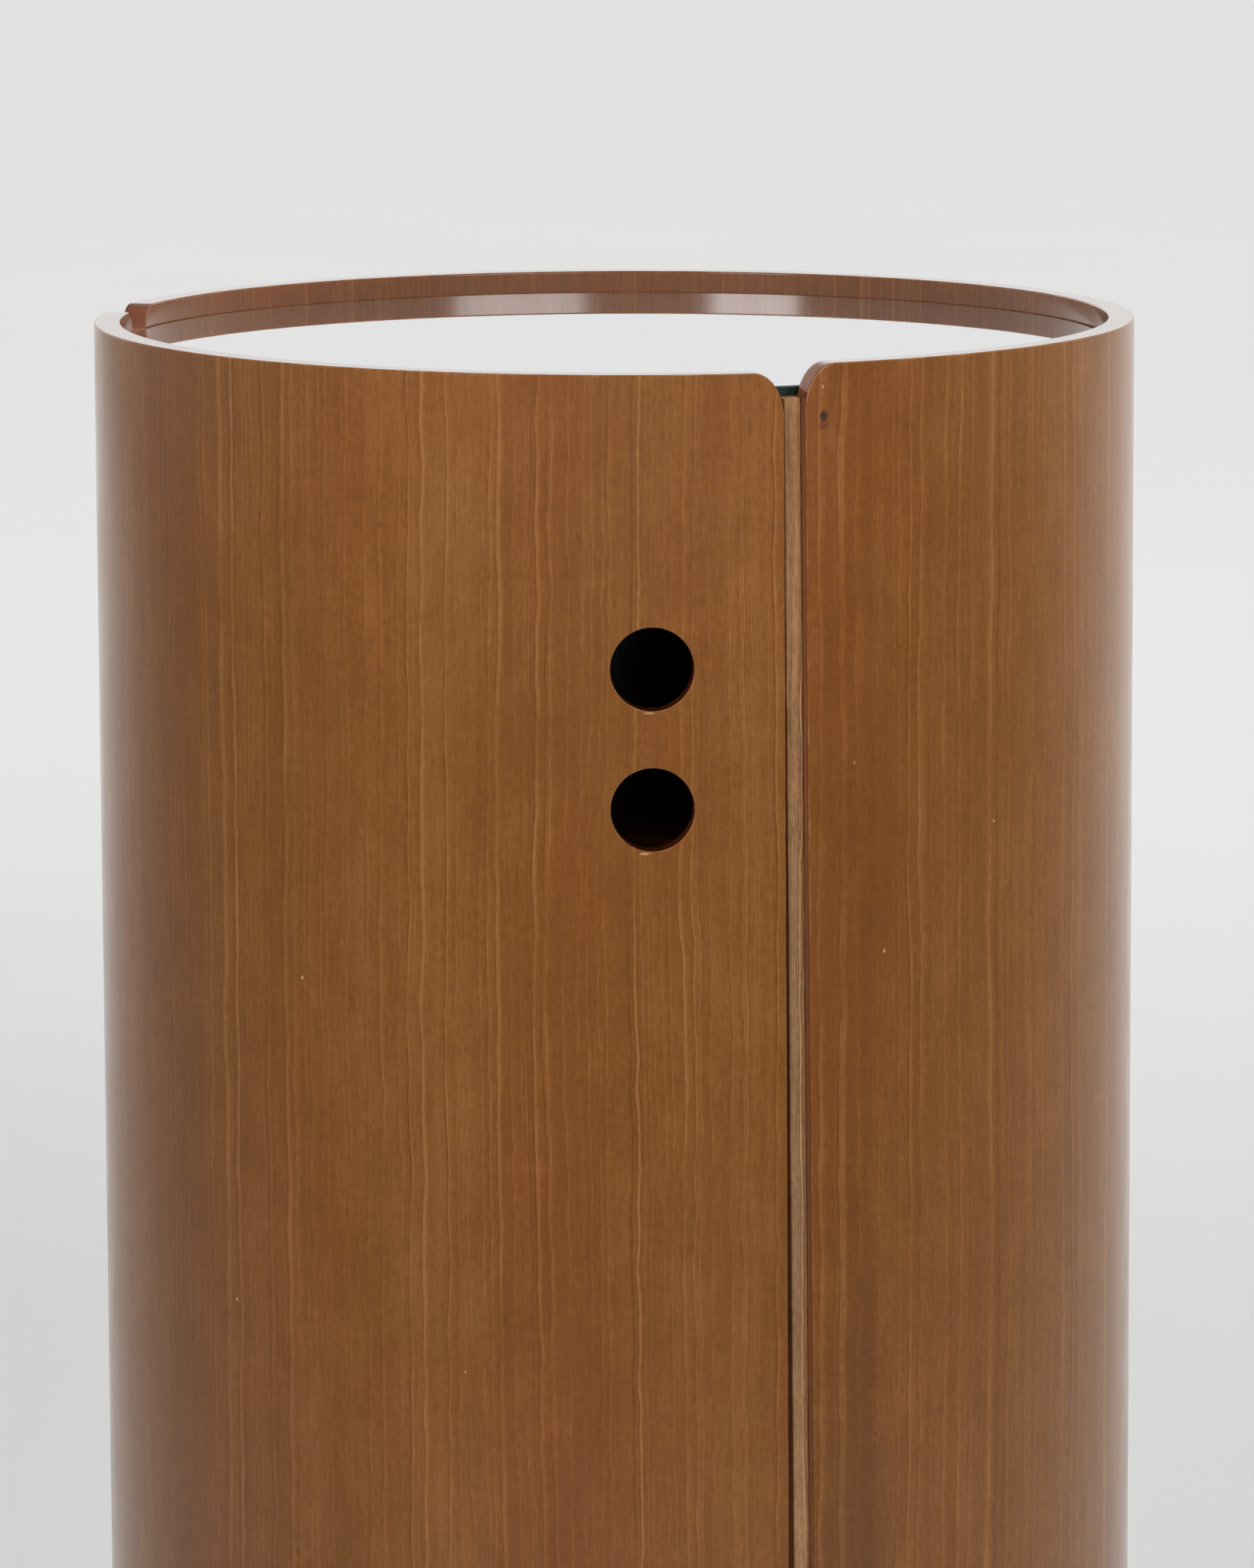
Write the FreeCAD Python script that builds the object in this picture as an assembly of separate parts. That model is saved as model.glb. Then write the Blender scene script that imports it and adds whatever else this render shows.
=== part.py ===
import FreeCAD, Part
import math
import os

Vector = FreeCAD.Vector

# Round bar cabinet in bent, veneered plywood: a fixed shell, one curved door on three butt hinges with
# bottle trays inside it, and a mirrored glass top set below the rim.
# Millimetres and degrees. +Z is up, the origin is the centre of the footprint on the floor.
# Angles about the cabinet's axis run from the front (-Y) towards the right (+X).

# Body
OVERALL_HEIGHT = 900.0
OUTER_RADIUS = 250.0
WALL = 12.5
SHELL_FLOOR_GAP = 30.0
NOTCH_CORNER_WIDTH = 14.5
NOTCH_CORNER_HEIGHT = 21.0
RIM_ARRIS = 1.0
WOOD_GAP = 0.3

# Splits between the fixed shell and the door. The front edges lean: their angles are those at mid height
FIXED_FRONT_DEG = 20.95
FIXED_EDGE_LEAN_DEG = 0.43
DOOR_FREE_DEG = 18.2
DOOR_EDGE_LEAN_DEG = 0.17
EDGE_ALLOWANCE = 8.0
DOOR_HINGE_DEG = -100.2
SWING_CLEARANCE = 1.1
DOOR_RIM_FALL = 3.5

# Finger holes
HOLE_RADIUS = 19.1
HOLE_DEG = 3.8
UPPER_HOLE_DEPTH = 137.2
HOLE_SPACING = 64.4

# Mirror and the round panels
MIRROR_DEPTH = 11.0
MIRROR_THICKNESS = 5.0
MIRROR_EDGE_GAP = 1.3
PANEL = 18.0
PANEL_DOOR_GAP = 1.0

# Plinth, just inside the strips at the splits
PLINTH_STRIP_GAP = 1.0
PLINTH_WALL = 18.0
PLINTH_TOP = 45.0
GLIDE_RADIUS = 8.0
GLIDE_HEIGHT = 5.0
GLIDE_SIDES = 20
GLIDE_COUNT = 4
GLIDE_FIRST_DEG = 45.0

# Solid wood strips at the splits
BATTEN_THICKNESS = 15.0
BATTEN_DOOR_WIDTH = 12.0
BATTEN_SHELL_WIDTH = 28.0
BATTEN_NOSE_RECESS = 6.0
BATTEN_DOOR_GAP = 3.7
STILE_THICKNESS = 19.0
STILE_SHELL_WIDTH = 20.0

# Butt hinges
PIN_RADIUS = 1.6
PIN_CLEARANCE = 0.05
KNUCKLE_RADIUS = 3.2
KNUCKLE_CLEARANCE = 0.5
KNUCKLE_COUNT = 3
KNUCKLE_GAP = 0.3
LEAF_THICKNESS = 1.5
LEAF_WIDTH = 19.0
LEAF_HEIGHT = 76.0
HINGE_NAMES = ("lower", "middle", "upper")
HINGE_END_DISTANCE = 75.0
HINGE_SCREW_SPACING = 50.0

# Wood screws
SHANK_RADIUS = 1.6
SHANK_SIDES = 6
HEAD_SIDES = 10
HEAD_RADIUS = 3.4
HEAD_HEIGHT = 1.1
HINGE_SCREW_LENGTH = 11.0
TRAY_SCREW_LENGTH = 24.0
CATCH_SCREW_LENGTH = 16.0
STRIKE_SCREW_LENGTH = 9.0

# Shelves in the carcass
SHELF = 16.0
LOWER_SHELF_HEIGHT = 330.0
UPPER_SHELF_HEIGHT = 250.0
SHELF_SETBACK = 12.0
SHELF_ARRIS = 1.5
SHELF_CLEAT_DEGS = (60.0, 135.0, 210.0)
SHELF_CLEAT_DEPTH = 16.0
SHELF_CLEAT_LENGTH = 100.0
SHELF_CLEAT_HEIGHT = 18.0

# Glue blocks under the round panels
BLOCK_DEGS = (60.0, 120.0, 180.0, 236.0)
BLOCK_DEPTH = 20.0
BLOCK_LENGTH = 60.0
TOP_BLOCK_HEIGHT = 25.0
BOTTOM_BLOCK_GAP = 0.5
PLINTH_BLOCK_DEPTH = 22.0
PLINTH_BLOCK_LENGTH = 50.0
PLINTH_BLOCK_FLOOR_GAP = 12.0

# Trays on the door
TRAY = 12.0
TRAY_FRONT_DEG = 12.0
TRAY_REAR_DEG = -95.0
TRAY_SETBACK = 2.0
TRAY_ARRIS = 1.5
LOWER_TRAY_HEIGHT = 30.0
UPPER_TRAY_HEIGHT = 350.0
CLEAT_DEPTH = 20.0
CLEAT_HEIGHT = 18.0
CLEAT_FRONT_DEG = -2.0
CLEAT_REAR_DEG = -82.0
TRAY_SCREW_DEGS = (-66.0, -18.0)

# Bottle gallery on each tray
GALLERY_INSET = 10.0
GALLERY_HEIGHT = 75.0
RAIL_WIDTH = 6.0
POST_WIDTH = 10.0
POST_ABOVE_RAIL = 8.0
POST_ARRIS = 1.0
POST_SHARES = (0.1, 0.5, 0.9)
RAIL_SHARES = (0.06, 0.94)

# Magnetic catch
CATCH_DEG = 4.0
CATCH_WIDTH = 46.0
CATCH_DEPTH = 16.0
CATCH_HEIGHT = 13.0
CATCH_LUG_WIDTH = 9.0
CATCH_LUG_THICKNESS = 3.0
POLE_THICKNESS = 1.6
POLE_WIDTH = 30.0
POLE_PROUD = 1.2
MAGNET_THICKNESS = 4.0
CATCH_AIR_GAP = 0.6
STRIKE_THICKNESS = 1.5
STRIKE_WIDTH = 48.0
STRIKE_HEIGHT = 12.0
STRIKE_RECESS = 0.5
STRIKE_SCREW_SPACING = 37.0

# Worked out from the sizes above
INNER_RADIUS = OUTER_RADIUS - WALL
FIT_RADIUS = INNER_RADIUS - WOOD_GAP
MIRROR_TOP = OVERALL_HEIGHT - MIRROR_DEPTH
MIRROR_UNDERSIDE = MIRROR_TOP - MIRROR_THICKNESS
TOP_PANEL_TOP = MIRROR_UNDERSIDE
TOP_PANEL_UNDERSIDE = TOP_PANEL_TOP - PANEL
FLOOR_PANEL_TOP = PLINTH_TOP + PANEL
LOWER_SHELF_UNDERSIDE = FLOOR_PANEL_TOP + LOWER_SHELF_HEIGHT
UPPER_SHELF_UNDERSIDE = LOWER_SHELF_UNDERSIDE + SHELF + UPPER_SHELF_HEIGHT
LOWER_TRAY_UNDERSIDE = FLOOR_PANEL_TOP + LOWER_TRAY_HEIGHT
UPPER_TRAY_UNDERSIDE = FLOOR_PANEL_TOP + UPPER_TRAY_HEIGHT
HINGE_SETBACK = KNUCKLE_RADIUS + KNUCKLE_CLEARANCE
PLINTH_RADIUS = INNER_RADIUS - max(STILE_THICKNESS, BATTEN_THICKNESS) - PLINTH_STRIP_GAP
REACH = 2 * OUTER_RADIUS
TURN_DEG = 360.0
TOUCH = PIN_CLEARANCE / 2

UP = Vector(0, 0, 1)
DOWN = Vector(0, 0, -1)
CENTRE = Vector(0, 0, 0)


def arc_deg(length, radius):
    """Angle that a length along a circle takes up."""
    return math.degrees(length / radius)


# The door's outer corner turns inside the rear split
HINGE_DEG = DOOR_HINGE_DEG - arc_deg(HINGE_SETBACK, INNER_RADIUS)
CORNER_SWING = math.hypot(WALL, HINGE_SETBACK) + SWING_CLEARANCE
FIXED_REAR_DEG = HINGE_DEG - arc_deg(CORNER_SWING, INNER_RADIUS)


def on_circle(radius, deg, height):
    """Point at an angle from the front."""
    turn = math.radians(deg)
    return Vector(radius * math.sin(turn), -radius * math.cos(turn), height)


def outward(deg):
    return on_circle(1, deg, 0)


def placed(shape, radius, deg):
    """Moves a shape made about the origin, outward along -Y, to its angle on a circle."""
    moved = shape.copy()
    moved.translate(on_circle(radius, 0, 0))
    moved.rotate(CENTRE, UP, deg)
    return moved


def disc(radius, low, high):
    return Part.makeCylinder(radius, high - low, Vector(0, 0, low))


def pie(radius, first_deg, last_deg, low, high):
    """Slice of a disc between two angles from the front."""
    slice_ = Part.makeCylinder(radius, high - low, Vector(0, 0, low), UP, last_deg - first_deg)
    slice_.rotate(CENTRE, UP, first_deg - TURN_DEG / 4)
    return slice_


def curved_wall(inner, outer, first_deg, last_deg, low, high):
    """Part of a round wall between two angles."""
    return pie(outer, first_deg, last_deg, low, high).cut(disc(inner, low, high))


def ring(inner, outer, low, high):
    return disc(outer, low, high).cut(disc(inner, low, high))


def box(x_low, x_high, y_low, y_high, z_low, z_high):
    corner = Vector(x_low, y_low, z_low)
    return Part.makeBox(x_high - x_low, y_high - y_low, z_high - z_low, corner)


def edges_where(shape, test):
    return [edge for edge in shape.Edges if test(edge)]


def is_flat_at(edge, height):
    """True for an edge that lies at one height."""
    low = edge.BoundBox.ZMin
    high = edge.BoundBox.ZMax
    return abs(low - height) < TOUCH and abs(high - height) < TOUCH


def oval_bar(width, rise, centre):
    """Bar along -Y with an oval section, of these half sizes."""
    beside = centre + Vector(width, 0, 0)
    above = centre + Vector(0, 0, rise)
    far, near = (above, beside) if rise > width else (beside, above)
    oval = Part.Wire(Part.Ellipse(far, near, centre).toShape())
    return Part.Face(oval).extrude(Vector(0, -REACH, 0))


def edge_shift(height, lean_deg):
    """How far a leaning edge lies towards the growing angles at a height."""
    middle = (SHELL_FLOOR_GAP + OVERALL_HEIGHT) / 2
    return (middle - height) * math.tan(math.radians(lean_deg))


def beyond_edge(deg, top, lean_deg, side):
    """All that lies beyond a wall's edge, up to a height. The wall lies on the given side (+1 or -1)."""
    outline = [
        Vector(edge_shift(0, lean_deg), 0, 0),
        Vector(edge_shift(top, lean_deg), 0, top),
        Vector(-side * REACH, 0, top),
        Vector(-side * REACH, 0, 0),
    ]
    tool = Part.Face(Part.makePolygon(outline + outline[:1])).extrude(Vector(0, -REACH, 0))
    tool.rotate(CENTRE, UP, deg)
    return tool


def notch_corner(deg, top, side, lean_deg=0.0):
    """What is cut away to round a wall's upper corner. The wall lies on the given side (+1 or -1)."""
    low = top - NOTCH_CORNER_HEIGHT
    block = box(-REACH, NOTCH_CORNER_WIDTH, -REACH, 0, low, top + NOTCH_CORNER_HEIGHT)
    centre = Vector(NOTCH_CORNER_WIDTH, 0, low)
    tool = block.cut(oval_bar(NOTCH_CORNER_WIDTH, NOTCH_CORNER_HEIGHT, centre))
    if side < 0:
        tool = tool.mirror(CENTRE, Vector(1, 0, 0))
    tool.translate(Vector(edge_shift(low, lean_deg), 0, 0))
    tool.rotate(CENTRE, UP, deg)
    return tool


def leaning_edge(wall, deg, top, lean_deg, side):
    """Cuts a wall to its leaning edge, with a rounded corner above it."""
    low = top - NOTCH_CORNER_HEIGHT
    wall = wall.cut(beyond_edge(deg, low, lean_deg, side))
    return wall.cut(notch_corner(deg, top, side, lean_deg))


def round_bar(radius, sides, length):
    """Bar along +Z, its circle drawn with a few flats."""
    corners = []
    for i in range(sides + 1):
        turn = math.radians(TURN_DEG * i / sides)
        corners.append(Vector(radius * math.cos(turn), radius * math.sin(turn), 0))
    return Part.Face(Part.makePolygon(corners)).extrude(Vector(0, 0, length))


def wood_screw(length):
    """Screw with a flat round head below the origin and its shank towards +Z."""
    shank = round_bar(SHANK_RADIUS, SHANK_SIDES, length - HEAD_HEIGHT)
    head = round_bar(HEAD_RADIUS, HEAD_SIDES, HEAD_HEIGHT)
    head.translate(Vector(0, 0, -HEAD_HEIGHT))
    return shank.fuse(head)


def aimed(shape, point, direction):
    """Turns a shape made along +Z to a direction and moves it to a point."""
    moved = shape.copy()
    moved.Placement = FreeCAD.Placement(point, FreeCAD.Rotation(UP, direction))
    return moved


def bored(shape, tools):
    """Cuts the seats of screws and pins."""
    return shape.cut(Part.makeCompound(tools))


# Fixed shell and what joins it

def above_rim(top):
    """What is cut away above a shell's rim, with an arris on each side of it."""
    outline = [
        Vector(INNER_RADIUS - WALL, 0, top - WALL - RIM_ARRIS),
        Vector(INNER_RADIUS + RIM_ARRIS, 0, top),
        Vector(OUTER_RADIUS - RIM_ARRIS, 0, top),
        Vector(OUTER_RADIUS + WALL, 0, top - WALL - RIM_ARRIS),
        Vector(OUTER_RADIUS + WALL, 0, top + WALL),
        Vector(INNER_RADIUS - WALL, 0, top + WALL),
    ]
    face = Part.Face(Part.makePolygon(outline + outline[:1]))
    return face.revolve(CENTRE, UP, TURN_DEG)


def fixed_shell():
    first_deg = FIXED_FRONT_DEG - arc_deg(EDGE_ALLOWANCE, OUTER_RADIUS)
    last_deg = FIXED_REAR_DEG + TURN_DEG
    wall = curved_wall(
        INNER_RADIUS, OUTER_RADIUS, first_deg, last_deg, SHELL_FLOOR_GAP, OVERALL_HEIGHT
    )
    wall = leaning_edge(wall, FIXED_FRONT_DEG, OVERALL_HEIGHT, FIXED_EDGE_LEAN_DEG, 1)
    wall = wall.cut(notch_corner(last_deg, OVERALL_HEIGHT, -1))
    return wall.cut(above_rim(OVERALL_HEIGHT))


def front_batten():
    """Door stop with a nose that fills the split beside the fixed shell's edge."""
    first_deg = DOOR_FREE_DEG - arc_deg(BATTEN_DOOR_WIDTH, INNER_RADIUS)
    last_deg = FIXED_FRONT_DEG + arc_deg(BATTEN_SHELL_WIDTH, INNER_RADIUS)
    nose_deg = DOOR_FREE_DEG + arc_deg(BATTEN_DOOR_GAP, INNER_RADIUS)
    allowance_deg = arc_deg(EDGE_ALLOWANCE, INNER_RADIUS)
    back = INNER_RADIUS - BATTEN_THICKNESS
    flange = curved_wall(back, FIT_RADIUS, first_deg, last_deg, SHELL_FLOOR_GAP, TOP_PANEL_TOP)
    nose = curved_wall(
        back,
        OUTER_RADIUS - BATTEN_NOSE_RECESS,
        nose_deg - allowance_deg,
        FIXED_FRONT_DEG + allowance_deg,
        SHELL_FLOOR_GAP,
        TOP_PANEL_TOP,
    )
    for deg, side in ((nose_deg, 1), (FIXED_FRONT_DEG, -1)):
        nose = nose.cut(beyond_edge(deg, OVERALL_HEIGHT, FIXED_EDGE_LEAN_DEG, side))
    return flange.fuse(nose).removeSplitter()


def hinge_stile():
    """Strip behind the rear split, with a flat front face for the leaf and a cove for the knuckles."""
    first_deg = FIXED_REAR_DEG - arc_deg(STILE_SHELL_WIDTH, INNER_RADIUS)
    back = INNER_RADIUS - STILE_THICKNESS
    strip = curved_wall(back, FIT_RADIUS, first_deg, DOOR_HINGE_DEG, SHELL_FLOOR_GAP, TOP_PANEL_TOP)
    ahead = box(-LEAF_THICKNESS, REACH, -REACH, REACH, 0, OVERALL_HEIGHT)
    cove = disc(KNUCKLE_RADIUS + KNUCKLE_CLEARANCE, 0, OVERALL_HEIGHT)
    tools = [placed(ahead, INNER_RADIUS, HINGE_DEG), placed(cove, INNER_RADIUS, HINGE_DEG)]
    for tool in tools:
        strip = strip.cut(tool)
    return bored(strip, fixed_leaf_screws())


def strip_notches(low, high):
    """Room in a round panel for the two strips."""
    gap_deg = arc_deg(WOOD_GAP, INNER_RADIUS)
    batten_first = DOOR_FREE_DEG - arc_deg(BATTEN_DOOR_WIDTH, INNER_RADIUS) - gap_deg
    batten_last = FIXED_FRONT_DEG + arc_deg(BATTEN_SHELL_WIDTH, INNER_RADIUS) + gap_deg
    stile_first = FIXED_REAR_DEG - arc_deg(STILE_SHELL_WIDTH, INNER_RADIUS) - gap_deg
    batten_back = INNER_RADIUS - BATTEN_THICKNESS - WOOD_GAP
    stile_back = INNER_RADIUS - STILE_THICKNESS - WOOD_GAP
    return [
        curved_wall(batten_back, OUTER_RADIUS, batten_first, batten_last, low, high),
        curved_wall(stile_back, OUTER_RADIUS, stile_first, HINGE_DEG + gap_deg, low, high),
    ]


def round_panel(low, high):
    """Full panel, a little smaller where the door closes round it."""
    panel = disc(FIT_RADIUS, low, high)
    relief_radius = INNER_RADIUS - PANEL_DOOR_GAP
    tools = [curved_wall(relief_radius, OUTER_RADIUS, DOOR_HINGE_DEG, FIXED_FRONT_DEG, low, high)]
    for tool in tools + strip_notches(low, high):
        panel = panel.cut(tool)
    return panel


def top_disc():
    panel = round_panel(TOP_PANEL_UNDERSIDE, TOP_PANEL_TOP)
    return bored(panel, catch_screws())


def bottom_disc():
    return round_panel(PLINTH_TOP, FLOOR_PANEL_TOP)


def mirror_top():
    return disc(INNER_RADIUS - MIRROR_EDGE_GAP, MIRROR_UNDERSIDE, MIRROR_TOP)


# Blocks

def glue_block(inner, outer, deg, length, low, high):
    """Block with a flat front, planed to the wall's curve behind."""
    half = length / 2
    block = box(-half, half, -REACH, -inner, low, high).common(disc(outer, low, high))
    block.rotate(CENTRE, UP, deg)
    return block


def top_blocks():
    low = TOP_PANEL_UNDERSIDE - TOP_BLOCK_HEIGHT
    inner = INNER_RADIUS - BLOCK_DEPTH
    return [
        glue_block(inner, FIT_RADIUS, deg, BLOCK_LENGTH, low, TOP_PANEL_UNDERSIDE)
        for deg in BLOCK_DEGS
    ]


def bottom_blocks():
    low = SHELL_FLOOR_GAP + BOTTOM_BLOCK_GAP
    inner = PLINTH_RADIUS + WOOD_GAP
    return [
        glue_block(inner, FIT_RADIUS, deg, BLOCK_LENGTH, low, PLINTH_TOP)
        for deg in BLOCK_DEGS
    ]


def plinth_blocks():
    outer = PLINTH_RADIUS - PLINTH_WALL - WOOD_GAP
    inner = outer - PLINTH_BLOCK_DEPTH
    low = PLINTH_BLOCK_FLOOR_GAP
    return [
        glue_block(inner, outer, deg, PLINTH_BLOCK_LENGTH, low, PLINTH_TOP) for deg in BLOCK_DEGS
    ]


# Base

def plinth_ring():
    return ring(PLINTH_RADIUS - PLINTH_WALL, PLINTH_RADIUS, GLIDE_HEIGHT, PLINTH_TOP)


def floor_glides():
    glide = round_bar(GLIDE_RADIUS, GLIDE_SIDES, GLIDE_HEIGHT)
    radius = PLINTH_RADIUS - PLINTH_WALL / 2
    step = TURN_DEG / GLIDE_COUNT
    return [placed(glide, radius, GLIDE_FIRST_DEG + i * step) for i in range(GLIDE_COUNT)]


# Straight line from the hinge to the front, between the door's side and the carcass's side

def swing_line():
    """Start, end and angle of the line."""
    start = on_circle(INNER_RADIUS, HINGE_DEG, 0)
    end = on_circle(INNER_RADIUS, TRAY_FRONT_DEG, 0)
    run = end - start
    return start, end, math.degrees(math.atan2(run.y, run.x))


def carcass_side(offset, low, high):
    """Everything beyond the swing line, an offset further in."""
    start, _, angle = swing_line()
    block = box(-REACH, REACH, offset, REACH, low, high)
    block.rotate(CENTRE, UP, angle)
    block.translate(start)
    return block


def line_point(share, offset, height):
    """Point beside the swing line, offset towards the door."""
    start, end, angle = swing_line()
    aside = Vector(0, -offset, 0)
    turned = FreeCAD.Rotation(UP, angle).multVec(aside)
    point = start + (end - start) * share + turned
    return Vector(point.x, point.y, height)


def shelf(underside):
    high = underside + SHELF
    board = disc(FIT_RADIUS, underside, high).common(carcass_side(SHELF_SETBACK, underside, high))
    for tool in strip_notches(underside, high):
        board = board.cut(tool)
    front = edges_where(board, lambda edge: is_front_arris(edge, SHELF_SETBACK))
    return board.makeFillet(SHELF_ARRIS, front)


def is_front_arris(edge, offset):
    """True for a level straight edge on the line that bounds a shelf or a tray."""
    level = edge.BoundBox.ZLength < TOUCH
    if not level or edge.Curve.TypeId != "Part::GeomLine":
        return False
    start, _, angle = swing_line()
    across = FreeCAD.Rotation(UP, angle).multVec(Vector(0, 1, 0))
    return all(abs((v.Point - start).dot(across) - offset) < TOUCH for v in edge.Vertexes)


def shelf_cleats():
    inner = INNER_RADIUS - SHELF_CLEAT_DEPTH
    return [
        glue_block(
            inner, FIT_RADIUS, deg, SHELF_CLEAT_LENGTH, underside - SHELF_CLEAT_HEIGHT, underside
        )
        for underside in (LOWER_SHELF_UNDERSIDE, UPPER_SHELF_UNDERSIDE)
        for deg in SHELF_CLEAT_DEGS
    ]


# Door

def door_chord():
    """Start and run of the straight line between the door's two upper corners."""
    start = on_circle(OUTER_RADIUS, DOOR_HINGE_DEG, OVERALL_HEIGHT)
    return start, on_circle(OUTER_RADIUS, DOOR_FREE_DEG, OVERALL_HEIGHT) - start


def fallen(shape):
    """Tips a level shape so that it falls from the door's hinge edge to its free edge."""
    start, run = door_chord()
    tipped = shape.copy()
    across = Vector(-run.y, run.x, 0)
    tipped.rotate(start, across, math.degrees(math.atan2(DOOR_RIM_FALL, run.Length)))
    return tipped


def door_rim_height(deg):
    """Height of the door's fallen rim at an angle."""
    start, run = door_chord()
    share = (on_circle(OUTER_RADIUS, deg, OVERALL_HEIGHT) - start).dot(run) / run.dot(run)
    return OVERALL_HEIGHT - DOOR_RIM_FALL * share


def hole_heights():
    upper = OVERALL_HEIGHT - UPPER_HOLE_DEPTH
    return [upper, upper - HOLE_SPACING]


def leaf_seats():
    """Flats on the door's inner face for the hinge leaves."""
    seats = []
    for middle in hinge_middles():
        half = LEAF_HEIGHT / 2 + WOOD_GAP
        block = box(0, LEAF_WIDTH + WOOD_GAP, 0, WALL, middle - half, middle + half)
        seats.append(placed(block, INNER_RADIUS, HINGE_DEG))
    return seats


def door_shell():
    last_deg = DOOR_FREE_DEG + arc_deg(EDGE_ALLOWANCE, OUTER_RADIUS)
    free_top = door_rim_height(DOOR_FREE_DEG - arc_deg(NOTCH_CORNER_WIDTH, OUTER_RADIUS))
    wall = curved_wall(
        INNER_RADIUS, OUTER_RADIUS, DOOR_HINGE_DEG, last_deg, SHELL_FLOOR_GAP, OVERALL_HEIGHT
    )
    wall = wall.cut(fallen(above_rim(OVERALL_HEIGHT)))
    wall = wall.cut(notch_corner(DOOR_HINGE_DEG, OVERALL_HEIGHT, 1))
    wall = leaning_edge(wall, DOOR_FREE_DEG, free_top, DOOR_EDGE_LEAN_DEG, -1)
    for height in hole_heights():
        hole = Part.makeCylinder(HOLE_RADIUS, REACH, Vector(0, 0, height), outward(HOLE_DEG))
        wall = wall.cut(hole)
    for seat in leaf_seats() + [strike_block(WALL, WOOD_GAP)]:
        wall = wall.cut(seat)
    return bored(wall, door_leaf_screws() + strike_screws())


def tray(underside):
    high = underside + TRAY
    board = pie(FIT_RADIUS, TRAY_REAR_DEG, TRAY_FRONT_DEG, underside, high)
    board = board.cut(carcass_side(-TRAY_SETBACK, underside, high))
    front = edges_where(board, lambda edge: is_front_arris(edge, -TRAY_SETBACK))
    return bored(board.makeFillet(TRAY_ARRIS, front), tray_screws())


def tray_cleats():
    """Curved strips glued to the door under the trays."""
    inner = INNER_RADIUS - CLEAT_DEPTH
    cleats = []
    for underside in (LOWER_TRAY_UNDERSIDE, UPPER_TRAY_UNDERSIDE):
        low = underside - CLEAT_HEIGHT
        cleat = curved_wall(inner, INNER_RADIUS, CLEAT_REAR_DEG, CLEAT_FRONT_DEG, low, underside)
        cleats.append(bored(cleat, tray_screws()))
    return cleats


def tray_screws():
    """Screws down through each tray into its cleat."""
    screw = wood_screw(TRAY_SCREW_LENGTH)
    radius = INNER_RADIUS - CLEAT_DEPTH / 2
    return [
        aimed(screw, on_circle(radius, deg, top), DOWN)
        for top in tray_tops()
        for deg in TRAY_SCREW_DEGS
    ]


def gallery_post(share, top):
    """Square brass bar that the rail passes through."""
    half = POST_WIDTH / 2
    height = GALLERY_HEIGHT + POST_ABOVE_RAIL
    post = box(-half, half, -half, half, 0, height)
    crown = edges_where(post, lambda edge: is_flat_at(edge, height))
    post = post.makeChamfer(POST_ARRIS, crown)
    post.rotate(CENTRE, UP, swing_line()[2])
    post.translate(line_point(share, GALLERY_INSET, top))
    return post.cut(gallery_rail(top))


def gallery_rail(top):
    """Square bar along the tray's front edge."""
    start = line_point(RAIL_SHARES[0], GALLERY_INSET, top + GALLERY_HEIGHT)
    end = line_point(RAIL_SHARES[1], GALLERY_INSET, top + GALLERY_HEIGHT)
    half = RAIL_WIDTH / 2
    rail = box(0, (end - start).Length, -half, half, -half, half)
    rail.rotate(CENTRE, UP, swing_line()[2])
    rail.translate(start)
    return rail


def tray_tops():
    return [LOWER_TRAY_UNDERSIDE + TRAY, UPPER_TRAY_UNDERSIDE + TRAY]


def gallery_posts():
    return [gallery_post(share, top) for top in tray_tops() for share in POST_SHARES]


def gallery_rails():
    return [gallery_rail(top) for top in tray_tops()]


# Butt hinges, made about their own axis with the door ahead (+X) and the outside towards -Y

def hinge_middles():
    """Heights of the hinges' middles, from the lowest up."""
    low = FLOOR_PANEL_TOP + HINGE_END_DISTANCE
    high = TOP_PANEL_UNDERSIDE - HINGE_END_DISTANCE
    step = (high - low) / (len(HINGE_NAMES) - 1)
    return [low + i * step for i in range(len(HINGE_NAMES))]


def knuckle(low, high, tab):
    barrel = disc(KNUCKLE_RADIUS, low, high).fuse(tab)
    return barrel.cut(disc(PIN_RADIUS + PIN_CLEARANCE, low, high))


def leaf(middle, first, plate_of):
    """Leaf with every other knuckle, from the given one. plate_of makes the flat between two radii."""
    bottom = middle - LEAF_HEIGHT / 2
    pitch = LEAF_HEIGHT / KNUCKLE_COUNT
    whole = plate_of(HINGE_SETBACK, LEAF_WIDTH, bottom, bottom + LEAF_HEIGHT)
    for i in range(first, KNUCKLE_COUNT, 2):
        low = bottom + i * pitch + KNUCKLE_GAP / 2
        high = low + pitch - KNUCKLE_GAP
        whole = whole.fuse(knuckle(low, high, plate_of(0, HINGE_SETBACK, low, high)))
    return placed(whole.removeSplitter(), INNER_RADIUS, HINGE_DEG)


def door_plate(near, far, low, high):
    return box(near, far, 0, LEAF_THICKNESS, low, high)


def fixed_plate(near, far, low, high):
    return box(-LEAF_THICKNESS, 0, near, far, low, high)


def leaf_screws(point, direction):
    """Two screws in each leaf, their heads on the leaf's face."""
    screw = wood_screw(HINGE_SCREW_LENGTH)
    screws = []
    for middle in hinge_middles():
        for height in (middle - HINGE_SCREW_SPACING / 2, middle + HINGE_SCREW_SPACING / 2):
            at = Vector(point.x, point.y, height)
            screws.append(placed(aimed(screw, at, direction), INNER_RADIUS, HINGE_DEG))
    return screws


def screw_line():
    return (HINGE_SETBACK + LEAF_WIDTH) / 2


def fixed_leaf_screws():
    return leaf_screws(Vector(0, screw_line(), 0), Vector(-1, 0, 0))


def door_leaf_screws():
    return leaf_screws(Vector(screw_line(), LEAF_THICKNESS, 0), Vector(0, -1, 0))


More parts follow.
